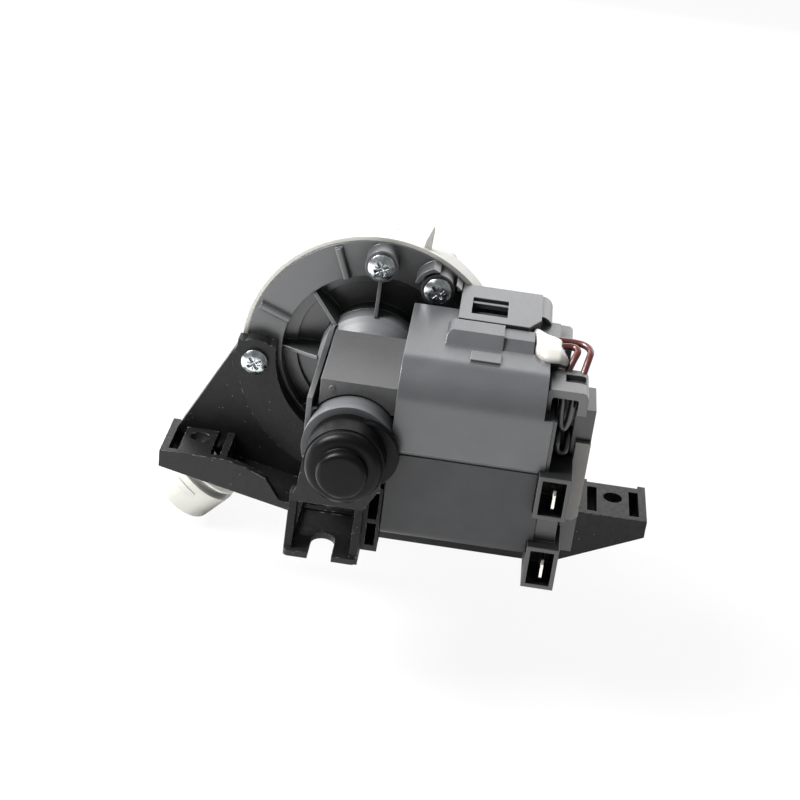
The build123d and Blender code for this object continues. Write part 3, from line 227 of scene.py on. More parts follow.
def rounded(corners, steps=7):
    """A profile with rounded corners.

    Each corner is station, radius and reach. It becomes a quadratic curve from the point one
    reach before it to the point one reach after it, with the corner as its middle control.
    """
    corners = np.asarray(corners, float)
    place, reach = corners[:, :2], corners[:, 2:3]
    back = np.roll(place, 1, axis=0) - place
    ahead = np.roll(place, -1, axis=0) - place
    back[0] = 0
    ahead[-1] = 0
    back /= np.maximum(np.linalg.norm(back, axis=1, keepdims=True), 1e-9)
    ahead /= np.maximum(np.linalg.norm(ahead, axis=1, keepdims=True), 1e-9)
    t = np.linspace(0, 1, steps)[None, :, None]
    start, middle, end = ((place + back * reach)[:, None], place[:, None],
                          (place + ahead * reach)[:, None])
    return ((1 - t) ** 2 * start + 2 * t * (1 - t) * middle + t ** 2 * end).reshape(-1, 2)


# Finishes

def add(tree, kind, inputs=None, **settings):
    """Adds a shader node, sets it up, and fills or links its inputs."""
    made = tree.nodes.new(kind)
    for key, value in settings.items():
        setattr(made, key, value)
    for key, value in (inputs or {}).items():
        if isinstance(value, bpy.types.NodeSocket):
            tree.links.new(value, made.inputs[key])
        else:
            made.inputs[key].default_value = value
    return made


def begin(name):
    """An empty material, with its tree, its shader and the object coordinates."""
    made = bpy.data.materials.new(name)
    made.use_nodes = True
    tree = made.node_tree
    tree.nodes.clear()
    shader = add(tree, "ShaderNodeBsdfPrincipled")
    output = add(tree, "ShaderNodeOutputMaterial")
    tree.links.new(shader.outputs["BSDF"], output.inputs["Surface"])
    coordinates = add(tree, "ShaderNodeTexCoord").outputs["Object"]
    return made, tree, shader, coordinates


def remap(tree, value, low, high, new_low, new_high):
    """A value moved from one range to another and kept inside it."""
    return add(tree, "ShaderNodeMapRange",
               {"Value": value, "From Min": low, "From Max": high, "To Min": new_low,
                "To Max": new_high}).outputs["Result"]


def blend_colours(tree, factor, first, second):
    """A colour between two others."""
    mix = add(tree, "ShaderNodeMix", data_type="RGBA")
    for key, value in (("Factor", factor), ("A", first), ("B", second)):
        socket = [s for s in mix.inputs if s.name == key and s.enabled][0]
        if isinstance(value, bpy.types.NodeSocket):
            tree.links.new(value, socket)
        else:
            socket.default_value = value
    return [s for s in mix.outputs if s.enabled][0]


def shade(colour, factor):
    """A colour made lighter or darker."""
    return (*(min(1.0, channel * factor) for channel in colour), 1.0)


def edge_wear_and_highlight(tree, radius):
    """How far a point lies on an outer edge, from none to one, and the rounded normal there.

    The normal rounded over the radius is set against the surface's own: they differ at an edge.
    """
    bevel = add(tree, "ShaderNodeBevel", {"Radius": radius}, samples=6)
    own = add(tree, "ShaderNodeNewGeometry").outputs["Normal"]
    dot = add(tree, "ShaderNodeVectorMath", {0: bevel.outputs["Normal"], 1: own},
              operation="DOT_PRODUCT").outputs["Value"]
    return remap(tree, dot, 0.995, 0.80, 0.0, 1.0), bevel.outputs["Normal"]


def crevice_shade_mask(tree, reach):
    """How open a point is to its surroundings within a reach, from none to one; the mask where
    shade is painted into crevices.
    """
    open_air = add(tree, "ShaderNodeAmbientOcclusion", {"Distance": reach}, samples=8)
    return remap(tree, open_air.outputs["AO"], 0.35, 0.95, 0.0, 1.0)


def cover_surface(tree, shader, body, gloss, bump):
    """Links a finish's colour, roughness and bump to its shader."""
    tree.links.new(body, shader.inputs["Base Color"])
    tree.links.new(gloss, shader.inputs["Roughness"])
    tree.links.new(bump.outputs["Normal"], shader.inputs["Normal"])


def shader_of(material):
    """A material's shader."""
    return [n for n in material.node_tree.nodes if n.type == "BSDF_PRINCIPLED"][0]


def moulded(name, colour, roughness, grain=2400.0, depth=0.00003, edge=1.35, cloud=0.08,
            specular=0.8, soil_and_shade=0.45):
    """Moulded plastic: faint clouds, shade painted into crevices, a fine grain, and rounded edges
    painted lighter as part wear, part highlight.
    """
    made, tree, shader, place = begin(name)
    clouds = add(tree, "ShaderNodeTexNoise", {"Vector": place, "Scale": 110.0, "Detail": 4.0})
    body = blend_colours(tree, remap(tree, clouds.outputs["Fac"], 0.3, 0.7, 0.0, 1.0),
                         shade(colour, 1 - cloud), shade(colour, 1 + cloud))
    # Painted shade: points hemmed in by nearby surfaces within the reach are darkened towards a
    # darker share of the colour.
    body = blend_colours(tree, crevice_shade_mask(tree, 0.012), shade(colour, soil_and_shade), body)
    edges, normal = edge_wear_and_highlight(tree, sizes().edge_radius)
    # Edges painted lighter by the edge factor: partly wear, partly painted highlight.
    body = blend_colours(tree, edges, body, shade(colour, edge))
    fine = add(tree, "ShaderNodeTexNoise", {"Vector": place, "Scale": grain, "Detail": 3.0})
    bump = add(tree, "ShaderNodeBump", {"Height": fine.outputs["Fac"], "Strength": 0.6,
                                        "Distance": depth, "Normal": normal})
    gloss = remap(tree, fine.outputs["Fac"], 0.3, 0.7, roughness - 0.05, roughness + 0.07)
    cover_surface(tree, shader, body, gloss, bump)
    shader.inputs["Specular IOR Level"].default_value = specular
    return made


def speckled(name, colour, roughness):
    """Filled black plastic: a grain, bright specks, and bright scuffs on the edges that stand
    partly for rubbing and partly for painted highlight.
    """
    made, tree, shader, place = begin(name)
    edges, normal = edge_wear_and_highlight(tree, sizes().edge_radius)
    scuffs = add(tree, "ShaderNodeTexNoise", {"Vector": place, "Scale": 700.0, "Detail": 6.0})
    # Edge scuffs: partly rubbed wear, partly painted highlight.
    rub_and_highlight = add(tree, "ShaderNodeMath", {0: edges, 1: remap(tree, scuffs.outputs["Fac"], 0.52,
                                                          0.62, 0.0, 1.0)},
              operation="MULTIPLY").outputs["Value"]
    specks = add(tree, "ShaderNodeTexVoronoi", {"Vector": place, "Scale": 420.0})
    dust = remap(tree, specks.outputs["Distance"], 0.035, 0.055, 1.0, 0.0)
    marks = add(tree, "ShaderNodeMath", {0: rub_and_highlight, 1: dust}, operation="MAXIMUM")
    body = blend_colours(tree, marks.outputs["Value"], shade(colour, 1.0),
                         shade(colour, 50.0))
    fine = add(tree, "ShaderNodeTexNoise", {"Vector": place, "Scale": 2600.0, "Detail": 4.0})
    bump = add(tree, "ShaderNodeBump", {"Height": fine.outputs["Fac"], "Strength": 0.8,
                                        "Distance": 0.00006, "Normal": normal})
    gloss = remap(tree, scuffs.outputs["Fac"], 0.3, 0.7, roughness - 0.06, roughness + 0.1)
    cover_surface(tree, shader, body, gloss, bump)
    shader.inputs["Specular IOR Level"].default_value = 0.3
    return made


def rubber(name, colour, roughness=0.3):
    """Rubber with a faint bloom and a dull sheen."""
    made, tree, shader, place = begin(name)
    bloom = add(tree, "ShaderNodeTexNoise", {"Vector": place, "Scale": 160.0, "Detail": 5.0})
    body = blend_colours(tree, remap(tree, bloom.outputs["Fac"], 0.35, 0.7, 0.0, 1.0),
                         shade(colour, 0.85), shade(colour, 1.7))
    fine = add(tree, "ShaderNodeTexNoise", {"Vector": place, "Scale": 1800.0, "Detail": 3.0})
    bump = add(tree, "ShaderNodeBump", {"Height": fine.outputs["Fac"], "Strength": 0.4,
                                        "Distance": 0.00003})
    gloss = remap(tree, bloom.outputs["Fac"], 0.3, 0.7, roughness - 0.05, roughness + 0.08)
    cover_surface(tree, shader, body, gloss, bump)
    shader.inputs["Specular IOR Level"].default_value = 0.13
    return made


def plated(name, colour, roughness=0.2):
    """Plated or ground metal, with small stains and a fine brushed bump."""
    made, tree, shader, place = begin(name)
    stains = add(tree, "ShaderNodeTexNoise", {"Vector": place, "Scale": 520.0, "Detail": 5.0})
    body = blend_colours(tree, remap(tree, stains.outputs["Fac"], 0.35, 0.65, 0.0, 1.0),
                         shade(colour, 0.72), shade(colour, 1.12))
    edges, normal = edge_wear_and_highlight(tree, 0.00012)
    bump = add(tree, "ShaderNodeBump", {"Height": stains.outputs["Fac"], "Strength": 0.35,
                                        "Distance": 0.00006, "Normal": normal})
    gloss = remap(tree, stains.outputs["Fac"], 0.3, 0.7, roughness - 0.06, roughness + 0.12)
    cover_surface(tree, shader, body, gloss, bump)
    shader.inputs["Metallic"].default_value = 1.0
    return made


def stacked_sheets(name, colour, thickness):
    """A varnished stack: fine lines square to the pump axis, one for each sheet."""
    made, tree, shader, place = begin(name)
    lines = add(tree, "ShaderNodeTexWave", {"Vector": place, "Scale": 2 * math.pi / 20 / thickness,
                                            "Distortion": 0.2, "Detail": 1.0},
                wave_type="BANDS", bands_direction="Y")
    soil_and_shade = add(tree, "ShaderNodeTexNoise", {"Vector": place, "Scale": 620.0, "Detail": 6.0})
    specks = add(tree, "ShaderNodeTexVoronoi", {"Vector": place, "Scale": 420.0})
    base = blend_colours(tree, remap(tree, soil_and_shade.outputs["Fac"], 0.3, 0.7, 0.0, 1.0),
                         shade(colour, 0.93), shade(colour, 1.07))
    ruled = blend_colours(tree, remap(tree, lines.outputs["Fac"], 0.0, 0.5, 0.35, 0.0), base,
                          shade(colour, 0.5))
    dust = remap(tree, specks.outputs["Distance"], 0.03, 0.05, 1.0, 0.0)
    body = blend_colours(tree, dust, ruled, shade(colour, 4.0))
    edges, normal = edge_wear_and_highlight(tree, 0.00025)
    # Edges painted lighter: partly wear, partly painted highlight.
    body = blend_colours(tree, edges, body, shade(colour, 2.4))
    bump = add(tree, "ShaderNodeBump", {"Height": lines.outputs["Fac"], "Strength": 0.35,
                                        "Distance": 0.00004, "Normal": normal})
    gloss = remap(tree, soil_and_shade.outputs["Fac"], 0.3, 0.7, 0.41, 0.47)
    cover_surface(tree, shader, body, gloss, bump)
    shader.inputs["Metallic"].default_value = 0.35
    return made


def wound_wire(name, colour):
    """Enamelled wire laid side by side along X, with darker gaps."""
    made, tree, shader, place = begin(name)
    turns = add(tree, "ShaderNodeTexWave", {"Vector": place, "Scale": 700.0,
                                            "Distortion": 0.4, "Detail": 2.0},
                wave_type="BANDS", bands_direction="X")
    body = blend_colours(tree, turns.outputs["Fac"], shade(colour, 0.3), shade(colour, 1.1))
    bump = add(tree, "ShaderNodeBump", {"Height": turns.outputs["Fac"], "Strength": 0.9,
                                        "Distance": 0.00012})
    tree.links.new(body, shader.inputs["Base Color"])
    tree.links.new(bump.outputs["Normal"], shader.inputs["Normal"])
    shader.inputs["Roughness"].default_value = 0.28
    shader.inputs["Metallic"].default_value = 0.7
    return made


def mineral(name, colour, roughness):
    """Sintered ceramic or ferrite, with a granular colour and bump."""
    made, tree, shader, place = begin(name)
    grains = add(tree, "ShaderNodeTexVoronoi", {"Vector": place, "Scale": 900.0})
    cloud = add(tree, "ShaderNodeTexNoise", {"Vector": place, "Scale": 240.0, "Detail": 5.0})
    body = blend_colours(tree, cloud.outputs["Fac"], shade(colour, 0.7), shade(colour, 1.25))
    bump = add(tree, "ShaderNodeBump", {"Height": grains.outputs["Distance"],
                                        "Strength": 0.3, "Distance": 0.00005})
    gloss = remap(tree, cloud.outputs["Fac"], 0.3, 0.7, roughness - 0.08, roughness + 0.1)
    cover_surface(tree, shader, body, gloss, bump)
    return made


def milky(name, colour, roughness, glow=0.12):
    """White plastic or sealant that lets a little light in below its surface."""
    made = moulded(name, colour, roughness, grain=1500.0, depth=0.00002, edge=1.04, cloud=0.04)
    shader = shader_of(made)
    shader.inputs["Subsurface Weight"].default_value = glow
    shader.inputs["Subsurface Radius"].default_value = (1.0, 0.9, 0.7)
    shader.inputs["Subsurface Scale"].default_value = 0.0015
    return made


def sleeve(name, colour):
    """Wire insulation with a soft gloss and slight smears."""
    made = moulded(name, colour, 0.33, grain=900.0, edge=1.1, cloud=0.18)
    shader = shader_of(made)
    shader.inputs["Coat Weight"].default_value = 0.25
    shader.inputs["Coat Roughness"].default_value = 0.2
    return made


def dress(node, material):
    """Gives one of the frame's own pieces its finish."""
    mesh = NODES[node].data
    mesh.materials.clear()
    mesh.materials.append(material)


# Operators, one for each group of pieces

# Colours in linear light that the panel doesn't offer
CERAMIC = (0.78, 0.77, 0.73)
FERRITE = (0.055, 0.055, 0.06)
GROUND_STEEL = (0.58, 0.58, 0.59)
PROTECTOR_STEEL = (0.5, 0.5, 0.5)
NYLON = (0.70, 0.67, 0.56)
SPOOL = (0.72, 0.70, 0.63)
TIN = (0.80, 0.78, 0.70)


class PUMP_OT_cover(Operator):
    """Finishes the pump cover."""

    bl_idname = "pump.cover"
    bl_label = "Pump Cover"

    def execute(self, context):
        # The edge factor paints the cover's edges much lighter, as painted highlight and some wear;
        # the crevice share keeps its painted shade faint.
        dress("pump_cover", moulded("cover_grey", colours().cover, 0.33, edge=2.8, specular=1.0,
                                    soil_and_shade=0.15))
        return {"FINISHED"}


class PUMP_OT_bracket(Operator):
    """Finishes the mounting bracket."""

    bl_idname = "pump.bracket"
    bl_label = "Mounting Bracket"

    def execute(self, context):
        dress("mount_bracket", speckled("bracket_black", colours().bracket, 0.44))
        return {"FINISHED"}


class PUMP_OT_volute(Operator):
    """Finishes the volute, its seal ring and the impeller behind it."""

    bl_idname = "pump.volute"
    bl_label = "Volute and Impeller"

    def execute(self, context):
        white = milky("volute_white", colours().volute, 0.34)
        for node in ("volute", "impeller", "impeller_hub_cap"):
            dress(node, white)
        black = rubber("seal_rubber", colours().rubber)
        for node in ("volute_seal_ring", "coupling_damper"):
            dress(node, black)
        return {"FINISHED"}


def boot_rings(profile, span, groove, below, columns=192):
    """Rings of a profile turned about the pump axis, with a groove round its lower part.

    A ring is (radius cos t, station, radius sin t). Between the span's two stations the radius
    is the groove's wherever radius sin t lies below the given height.
    """
    turn = full_turn(columns)
    station = profile[:, :1] + 0 * turn
    radius = profile[:, 1:2] + 0 * turn
    cut = (station >= span[0]) & (station <= span[1]) & (radius * np.sin(turn) < below)
    return at_pump(round_y(station, np.where(cut, groove, radius), turn))


# The boot's profile as station, radius and, where a corner is rounded, its reach
BOOT_BACK = ((-59.0, 0.6, 0.0), (-59.0, 11.2, 0.35))
BOOT_WAIST = ((-61.96, 11.2), (-62.0, 11.2), (-64.5, 11.2), (-64.54, 11.2))
BOOT_FRONT = ((-68.0, 11.2, 0.3), (-68.05, 10.8, 0.1), (-71.6, 10.8, 2.9), (-71.6, 7.1, 0.45),
              (-75.0, 7.1, 1.9), (-75.0, 0.4, 0.0))
BOOT_GROOVE_SPAN, BOOT_GROOVE_R, BOOT_GROOVE_BELOW = (-64.5, -62.0), 9.6, -1.35
BOOT_LOBE = ((-59.2, 0.6, 0.0), (-59.2, 10.2, 0.5), (-62.0, 10.2, 0.5), (-62.0, 0.6, 0.0))
BOOT_LOBE_X, BOOT_LOBE_Z = 4.3, 0.5


class PUMP_OT_boot(Operator):
    """Makes the rubber boot on the can's end."""

    bl_idname = "pump.boot"
    bl_label = "Tail Boot"

    def execute(self, context):
        profile = np.vstack([rounded(BOOT_BACK), BOOT_WAIST, rounded(BOOT_FRONT)])
        rings = boot_rings(profile, BOOT_GROOVE_SPAN, BOOT_GROOVE_R, BOOT_GROOVE_BELOW)
        lobe = turned_rings(rounded(BOOT_LOBE), 96, BOOT_LOBE_X, BOOT_LOBE_Z)
        made = piece("tail_boot_rubber", [shell(rings), shell(lobe)],
                     rubber("boot_rubber", colours().rubber, 0.36), sharp=50.0)
        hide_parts("tail_boot")
        return {"FINISHED"}


def crossed(u, v, arm, half, ramp):
    """How far points lie inside a cross, from none at its edge to one.

    Each of its two bars reaches arm one way and half the other. The value is the larger of the
    two bars' least distance inside, over the ramp, kept between none and one.
    """
    inside = np.maximum(np.minimum(half - np.abs(v), arm - np.abs(u)),
                        np.minimum(half - np.abs(u), arm - np.abs(v)))
    return np.clip(inside / ramp, 0, 1)


def screw_rings(x, under_head, z, turn, length=17.0, columns=120):
    """Rings of a pan-head screw that points along Y.

    Its crown falls as height - (height - edge) (r / R)^3. The cross recess sinks it by the depth
    times how far a point lies inside the cross, less by a share of r / R, and four fine ticks
    lie between the arms. Past a plain neck the shank's radius adds a triangle wave of station
    over pitch less the turn, so its crests climb as a thread, and a cone closes the tip.
    """
    head_r, head = sizes().screw_head_radius / MM, sizes().screw_head_height / MM
    deep, pitch = sizes().recess_depth / MM, sizes().thread_pitch / MM
    edge, rise, tick_depth, tick_end = 1.15, 0.3, 0.4, 2.2
    core_r, crest, neck, run_in, cone = 1.55, 0.34, 1.2, 0.8, 1.6
    around = full_turn(columns)
    radius = (np.linspace(0.015, 1.0, 46) * head_r)[:, None]
    crown = head - (head - edge) * (radius / head_r) ** 3
    u, v = radius * np.cos(around - turn), radius * np.sin(around - turn)
    cross = crossed(u, v, arm=2.35, half=0.52, ramp=0.34)
    tick = crossed((u + v) / math.sqrt(2), (u - v) / math.sqrt(2), arm=2.0, half=0.16, ramp=0.12)
    sunk = np.maximum(deep * cross * (1 - rise * radius / head_r),
                      tick_depth * tick * (radius < tick_end))
    side = np.array([(-edge + 0.12, head_r + 0.03), (-0.15, head_r), (0.0, head_r - 0.12),
                     (0.0, 2.0)])
    station = np.linspace(0.05, length - cone, 84)[:, None]
    wave = np.abs(((station / pitch - around / (2 * np.pi)) % 1.0) * 2 - 1)
    shank = core_r + crest * wave * np.clip((station - neck) / run_in, 0, 1)
    tip = np.array([(length - 0.9, 1.0), (length, 0.25)])
    parts = ((sunk - crown, radius), (side[:, :1], side[:, 1:]), (station, shank),
             (tip[:, :1], tip[:, 1:]))
    return at_pump(np.concatenate([round_y(under_head + below, r, around, x, z)
                                   for below, r in parts]))


def on_circle(radius, degrees):
    """A point on a circle about the pump axis, as X and Z."""
    angle = math.radians(degrees)
    return radius * math.cos(angle), radius * math.sin(angle)


SCREW_CIRCLE, OUTER_CIRCLE = 33.7, 35.4
# Node, station under the heads, and each screw's circle, angle about the axis and turn
SCREW_GROUPS = (
    ("cover_screws", -6.0,
     ((SCREW_CIRCLE, 89.6, 28), (SCREW_CIRCLE, 58.5, 40), (SCREW_CIRCLE, -30.0, 10))),
    ("bracket_screws", -5.0, ((OUTER_CIRCLE, 186.0, 35), (SCREW_CIRCLE, 300.0, 60))),
)


class PUMP_OT_screws(Operator):
    """Makes the three cover screws and the two bracket screws."""

    bl_idname = "pump.screws"
    bl_label = "Screws"

    def execute(self, context):
        zinc = plated("screw_zinc", colours().zinc)
        for node, under_head, places in SCREW_GROUPS:
            shells = []
            for radius, degrees, turn in places:
                x, z = on_circle(radius, degrees)
                shells.append(shell(screw_rings(x, under_head, z, math.radians(turn))))
            made = piece(node + "_zinc", shells, zinc, sharp=28.0)
            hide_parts(node)
        return {"FINISHED"}


class PUMP_OT_can(Operator):
    """Finishes the rotor can, its plug and the bearings' seats."""

    bl_idname = "pump.can"
    bl_label = "Rotor Can"

    def execute(self, context):
        can = moulded("can_light_grey", colours().can, 0.42, edge=1.15, specular=0.35)
        for node in ("rotor_can", "chamber_plug"):
            dress(node, can)
        black = rubber("seat_rubber", colours().rubber)
        for node in ("front_bearing_seat", "rear_bearing_seat", "shaft_seal"):
            dress(node, black)
        white = mineral("bearing_ceramic", CERAMIC, 0.3)
        for node in ("front_bearing", "rear_bearing"):
            dress(node, white)
        return {"FINISHED"}


class PUMP_OT_rotor(Operator):
    """Finishes the shaft, the magnet and what turns with them."""

    bl_idname = "pump.rotor"
    bl_label = "Rotor"

    def execute(self, context):
        dress("rotor_shaft", plated("shaft_ground", GROUND_STEEL, 0.16))
        dress("rotor_magnet", mineral("magnet_ferrite", FERRITE, 0.45))
        nylon = moulded("nylon_natural", NYLON, 0.4, edge=1.08)
        for node in ("rotor_carrier", "drive_dog", "front_thrust_washer", "rear_thrust_washer"):
            dress(node, nylon)
        return {"FINISHED"}


class PUMP_OT_stator(Operator):
    """Finishes the core, the spools and the windings."""

    bl_idname = "pump.stator"
    bl_label = "Stator"

    def execute(self, context):
        dress("stator_core", stacked_sheets("core_sheets", colours().steel,
                                            sizes().sheet_thickness))
        spool = moulded("spool_natural", SPOOL, 0.42, edge=1.08)
        wire = wound_wire("winding_copper", colours().copper)
        for side in ("upper", "lower"):
            dress(side + "_bobbin", spool)
            dress(side + "_winding", wire)
        return {"FINISHED"}


# Share of the housing grey for the lower housing: the same plastic, darkened as painted shade.
LOWER_HOUSING_PAINTED_SHADE = 0.52


class PUMP_OT_housings(Operator):
    """Finishes the two coil housings."""
    # Finishes the two coil housings; the lower one gets a darker copy of the grey as painted shade.

    bl_idname = "pump.housings"
    bl_label = "Coil Housings"

    def execute(self, context):
        dress("housing_upper", moulded("housing_grey", colours().housing, 0.34, edge=2.4,
                                       cloud=0.1))
        # Painted shade: a darker copy of the housing grey for the lower housing.
        dark = [LOWER_HOUSING_PAINTED_SHADE * channel for channel in colours().housing]
        dress("housing_lower", moulded("housing_grey_painted_shade", dark, 0.4, edge=2.6, cloud=0.14,
                                       specular=0.35))
        return {"FINISHED"}


class PUMP_OT_terminals(Operator):
    """Finishes the cap, the terminal holder, its spades and the end plate."""

    bl_idname = "pump.terminals"
    bl_label = "Terminal End"

    def execute(self, context):
        dress("lead_cap", moulded("cap_grey", colours().cap, 0.36, edge=1.9, soil_and_shade=0.2))
        # The holder's edges are painted five times lighter, as painted highlight and some wear.
        dress("terminal_holder", moulded("holder_grey", colours().holder, 0.34, edge=5.0))
        dress("spade_terminals", plated("spade_tin", TIN, 0.3))
        dress("end_plate", moulded("plate_beige", colours().plate, 0.42, edge=1.1))
        return {"FINISHED"}


# The bead's outline as X and Y, its lowest height and its rise, in millimetres
SEALANT_EDGE = ((47.0, -20.4), (49.2, -22.6), (51.6, -24.9), (54.3, -26.0), (56.3, -28.2),
                (56.2, -31.6), (56.3, -34.2), (57.6, -35.9), (57.2, -38.3), (54.9, -40.0),
                (51.4, -40.2), (48.9, -38.2), (47.7, -34.8), (47.3, -29.7), (46.6, -24.0))
SEALANT_LOW, SEALANT_HEIGHT = 26.42, 2.7
SEALANT_HARMONICS = 9
SEALANT_OVERHANG_X, SEALANT_SAG = 54.9, 0.5


def sealant_rings(columns=144, rows=26):
    """Rings of a poured bead over the protector.

    The outline's points are spread evenly by their distance along it, and its lowest harmonics
    make it smooth. Ring i draws the outline in towards its mean by cos(a) to the power 0.55 and
    lifts it by the height times sin(a) to the power 0.8, with a from none to nearly a quarter
    turn. Past the housing's end a point sags by a share of how far it hangs over.
    """
    points = np.array(SEALANT_EDGE + SEALANT_EDGE[:1])
    along = np.concatenate([[0.0], np.cumsum(np.linalg.norm(np.diff(points, axis=0), axis=1))])
    even = np.linspace(0, along[-1], columns, endpoint=False)
    line = np.interp(even, along, points[:, 0]) + 1j * np.interp(even, along, points[:, 1])
    waves = np.fft.fft(line)
    waves[np.abs(np.fft.fftfreq(columns, 1 / columns)) > SEALANT_HARMONICS] = 0
    line = np.fft.ifft(waves)
    middle = line.mean()
    rise = np.linspace(0, np.pi / 2 * 0.97, rows)[:, None]
    ring = middle + (line[None, :] - middle) * np.cos(rise) ** 0.55
    sag = SEALANT_SAG * np.clip(ring.real - SEALANT_OVERHANG_X, 0, None)
    lift = SEALANT_HEIGHT * np.sin(rise) ** 0.8
    return at_pump(np.stack([ring.real, ring.imag, SEALANT_LOW + lift - sag], axis=-1))


class PUMP_OT_sealant(Operator):
    """Makes the sealant over the thermal protector."""

    bl_idname = "pump.sealant"
    bl_label = "Sealant"

    def execute(self, context):
        dress("thermal_protector", plated("protector_steel", PROTECTOR_STEEL, 0.3))
        made = piece("sealant_poured", [shell(sealant_rings())],
                     milky("sealant_white", colours().sealant, 0.2, glow=0.3), sharp=70.0)
        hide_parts("sealant_bead")
        return {"FINISHED"}


def lead(name, route, diameter, material, node):
    """A round lead as a bevelled NURBS curve of third order whose control points are a route."""
    curve = bpy.data.curves.new(name, "CURVE")
    curve.dimensions = "3D"
    curve.resolution_u = 16
    curve.bevel_depth = diameter / 2
    curve.bevel_resolution = 6
    curve.use_fill_caps = True
    line = curve.splines.new("NURBS")
    places = at_pump(route)
    line.points.add(len(places) - 1)
    line.points.foreach_set("co", np.column_stack([places, np.ones(len(places))]).ravel())
    line.order_u = 3
    line.use_endpoint_u = True
    curve.materials.append(material)
    made = bpy.data.objects.new(name, curve)
    bpy.context.scene.collection.objects.link(made)
    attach(made, "pump")
    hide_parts(node)


# Control points of the leads
PROTECTOR_ROUTE_1 = ((53.8, -31.2, 27.6), (58.0, -29.5, 27.7), (60.2, -31.6, 27.6),
                     (58.9, -35.2, 26.4), (57.2, -38.8, 22.4))
PROTECTOR_ROUTE_2 = ((53.8, -26.6, 27.5), (60.6, -25.8, 27.5), (63.9, -29.6, 27.3),
                     (63.0, -34.4, 26.3), (61.8, -38.8, 22.4))
COIL_ROUTE_UPPER = ((56.95, -46.9, 21.5), (57.0, -47.6, 10.6), (59.8, -47.6, 10.6),
                    (59.85, -46.9, 21.5))
COIL_ROUTE_LOWER = ((57.3, -42.5, 9.2), (57.4, -47.2, 7.8), (57.5, -47.4, 2.7),
                    (60.2, -47.4, 2.7), (60.3, -45.6, 6.6), (60.3, -42.5, 8.2))


class PUMP_OT_leads(Operator):
    """Makes the protector's red leads and the dark coil leads."""

    bl_idname = "pump.leads"
    bl_label = "Leads"

    def execute(self, context):
        red = sleeve("lead_red", colours().red_sleeve)
        lead("protector_lead_1_red", PROTECTOR_ROUTE_1, sizes().lead_diameter, red,
             "protector_lead_1")
        lead("protector_lead_2_red", PROTECTOR_ROUTE_2, sizes().lead_diameter, red,
             "protector_lead_2")
        dark = sleeve("lead_dark", colours().dark_sleeve)
        lead("coil_lead_upper", COIL_ROUTE_UPPER, sizes().coil_lead_diameter, dark,
             "coil_leads")
        lead("coil_lead_lower", COIL_ROUTE_LOWER, sizes().coil_lead_diameter, dark,
             "coil_leads")
        return {"FINISHED"}


# Stage

# Where the camera looks, in millimetres about the pump axis
AIM = (11.49, -30.0, 2.967)
# The sensor's width in millimetres, and the nearest distance seen in metres
SENSOR_WIDTH, CLIP_START = 36.0, 0.01
# Half the floor's side and how far it lies below the part, in metres
FLOOR_REACH, FLOOR_DROP = 3.0, 0.0002
PAPER_GREY = 0.88
# Each light's place from the aim point and its width and height, in metres
KEY_AT, KEY_SIDE = (-0.55, -0.06, 0.58), 0.45
WALL_AT, WALL_WIDTH, WALL_HEIGHT = (0.0, 0.85, 0.34), 1.7, 0.75


def paper(name, shadow):
    """White paper that the camera sees at full strength, less a soft shadow."""
    made = bpy.data.materials.new(name)
    made.use_nodes = True
    tree = made.node_tree
    tree.nodes.clear()
    output = add(tree, "ShaderNodeOutputMaterial")
    matt = add(tree, "ShaderNodeBsdfDiffuse", {"Color": (PAPER_GREY,) * 3 + (1.0,)})
    glow = add(tree, "ShaderNodeEmission", {"Color": (1.0, 1.0, 1.0, 1.0), "Strength": 1.0})
    seen = add(tree, "ShaderNodeMixShader", {"Fac": shadow, 1: glow.outputs["Emission"],
                                             2: matt.outputs["BSDF"]})
    path = add(tree, "ShaderNodeLightPath")
    both = add(tree, "ShaderNodeMixShader", {"Fac": path.outputs["Is Camera Ray"],
                                             1: matt.outputs["BSDF"],
                                             2: seen.outputs["Shader"]})
    tree.links.new(both.outputs["Shader"], output.inputs["Surface"])
    return made


def soft_light(name, place, aim, width, height, power):
    """A rectangular soft light at a place, in metres, that faces an aim point."""
    lamp = bpy.data.lights.new(name, "AREA")
    lamp.shape = "RECTANGLE"
    lamp.size, lamp.size_y, lamp.energy = width, height, power
    made = bpy.data.objects.new(name, lamp)
    made.location = place
    direction = np.asarray(place, float) - np.asarray(aim, float)
    back = direction / np.linalg.norm(direction)
    right = np.cross((0.0, 0.0, 1.0), back)
    right /= np.linalg.norm(right)
    up = np.cross(back, right)
    made.rotation_euler = Matrix(np.column_stack([right, up, back]).tolist()).to_euler()
    bpy.context.scene.collection.objects.link(made)


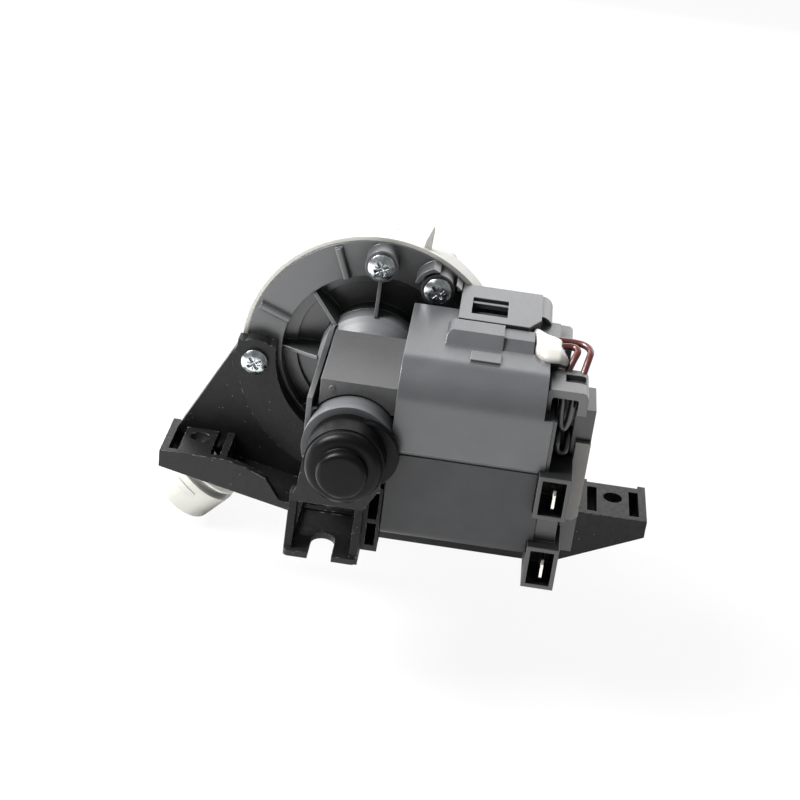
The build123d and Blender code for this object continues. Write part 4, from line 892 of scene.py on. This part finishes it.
class PUMP_OT_stage(Operator):
    """Makes the floor, the light and the camera."""

    bl_idname = "pump.stage"
    bl_label = "Stage"

    def execute(self, context):
        scene = context.scene
        stage = scene.pump_stage
        low = CAD_BOX[0]
        count = stage.floor_faces
        side = np.linspace(-FLOOR_REACH, FLOOR_REACH, count + 1)
        across, along = np.meshgrid(side, side)
        points = np.stack([across, along, np.full_like(across, low[2] - FLOOR_DROP)], axis=-1)
        index = np.arange((count + 1) ** 2).reshape(count + 1, count + 1)
        quads = np.stack([index[:-1, :-1], index[:-1, 1:], index[1:, 1:], index[1:, :-1]],
                         axis=-1).reshape(-1, 4)
        mesh = bpy.data.meshes.new("paper_floor")
        mesh.from_pydata(points.reshape(-1, 3).tolist(), [], quads.tolist())
        mesh.materials.append(paper("paper_white", stage.shadow_depth))
        floor = bpy.data.objects.new("paper_floor", mesh)
        scene.collection.objects.link(floor)

        world = bpy.data.worlds.new("studio")
        scene.world = world
        world.use_nodes = True
        tree = world.node_tree
        tree.nodes.clear()
        output = add(tree, "ShaderNodeOutputWorld")
        path = add(tree, "ShaderNodeLightPath")
        dim = add(tree, "ShaderNodeBackground", {"Color": (1.0, 1.0, 1.0, 1.0),
                                                 "Strength": stage.sky_strength})
        bright = add(tree, "ShaderNodeBackground", {"Color": (1.0, 1.0, 1.0, 1.0),
                                                    "Strength": 1.0})
        eye = add(tree, "ShaderNodeMath", {0: path.outputs["Is Camera Ray"],
                                           1: path.outputs["Is Transmission Ray"]},
                  operation="MAXIMUM")
        both = add(tree, "ShaderNodeMixShader", {"Fac": eye.outputs["Value"],
                                                 1: dim.outputs["Background"],
                                                 2: bright.outputs["Background"]})
        tree.links.new(both.outputs["Shader"], output.inputs["Surface"])

        aim = at_pump(AIM)
        soft_light("key_soft", aim + KEY_AT, aim, KEY_SIDE, KEY_SIDE, stage.key_power)
        soft_light("back_wall", aim + WALL_AT, aim + (0.0, 0.0, WALL_AT[2]), WALL_WIDTH,
                   WALL_HEIGHT, stage.back_power)

        turn, rise, roll = stage.azimuth, stage.elevation, stage.roll
        back = np.array([math.sin(turn) * math.cos(rise), -math.cos(turn) * math.cos(rise),
                         math.sin(rise)])
        right = np.array([math.cos(turn), math.sin(turn), 0.0])
        up = np.cross(back, right)
        tilted_right = right * math.cos(roll) + up * math.sin(roll)
        tilted_up = -right * math.sin(roll) + up * math.cos(roll)
        camera_data = bpy.data.cameras.new("photo_camera")
        camera_data.sensor_width = SENSOR_WIDTH
        camera_data.lens = stage.lens
        camera_data.clip_start = CLIP_START
        camera = bpy.data.objects.new("photo_camera", camera_data)
        camera.location = aim + back * stage.distance
        turned = Matrix(np.column_stack([tilted_right, tilted_up, back]).tolist())
        camera.rotation_euler = turned.to_euler()
        scene.collection.objects.link(camera)
        scene.camera = camera
        scene.view_settings.view_transform = "Standard"
        return {"FINISHED"}


OPERATORS = (PUMP_OT_stage, PUMP_OT_leads, PUMP_OT_cover, PUMP_OT_bracket, PUMP_OT_volute,
             PUMP_OT_boot, PUMP_OT_screws, PUMP_OT_can, PUMP_OT_rotor, PUMP_OT_stator,
             PUMP_OT_housings, PUMP_OT_terminals, PUMP_OT_sealant)


class PUMP_PT_sidebar(Panel):
    """Lists the pump's sizes, colours and operators."""

    bl_idname = "PUMP_PT_sidebar"
    bl_label = "Drain Pump"
    bl_space_type = "VIEW_3D"
    bl_region_type = "UI"
    bl_category = "Drain Pump"

    def draw(self, context):
        layout = self.layout
        for group in (context.scene.pump_sizes, context.scene.pump_colours,
                      context.scene.pump_stage):
            box = layout.box()
            for name in group.bl_rna.properties.keys():
                if name not in ("rna_type", "name"):
                    box.prop(group, name)
        for operator in OPERATORS:
            layout.operator(operator.bl_idname)


CLASSES = (PumpSizes, PumpColours, PumpStage, *OPERATORS, PUMP_PT_sidebar)


def register():
    """Registers the classes and sets the three property groups on the scene."""
    for item in CLASSES:
        bpy.utils.register_class(item)
    bpy.types.Scene.pump_sizes = PointerProperty(type=PumpSizes)
    bpy.types.Scene.pump_colours = PointerProperty(type=PumpColours)
    bpy.types.Scene.pump_stage = PointerProperty(type=PumpStage)


def unregister():
    """Takes away what register adds."""
    for name in ("pump_stage", "pump_colours", "pump_sizes"):
        delattr(bpy.types.Scene, name)
    for item in reversed(CLASSES):
        bpy.utils.unregister_class(item)


def main():
    """Registers the add-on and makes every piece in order."""
    register()
    for operator in OPERATORS:
        family, name = operator.bl_idname.split(".")
        getattr(getattr(bpy.ops, family), name)()


if __name__ == "__main__":
    main()
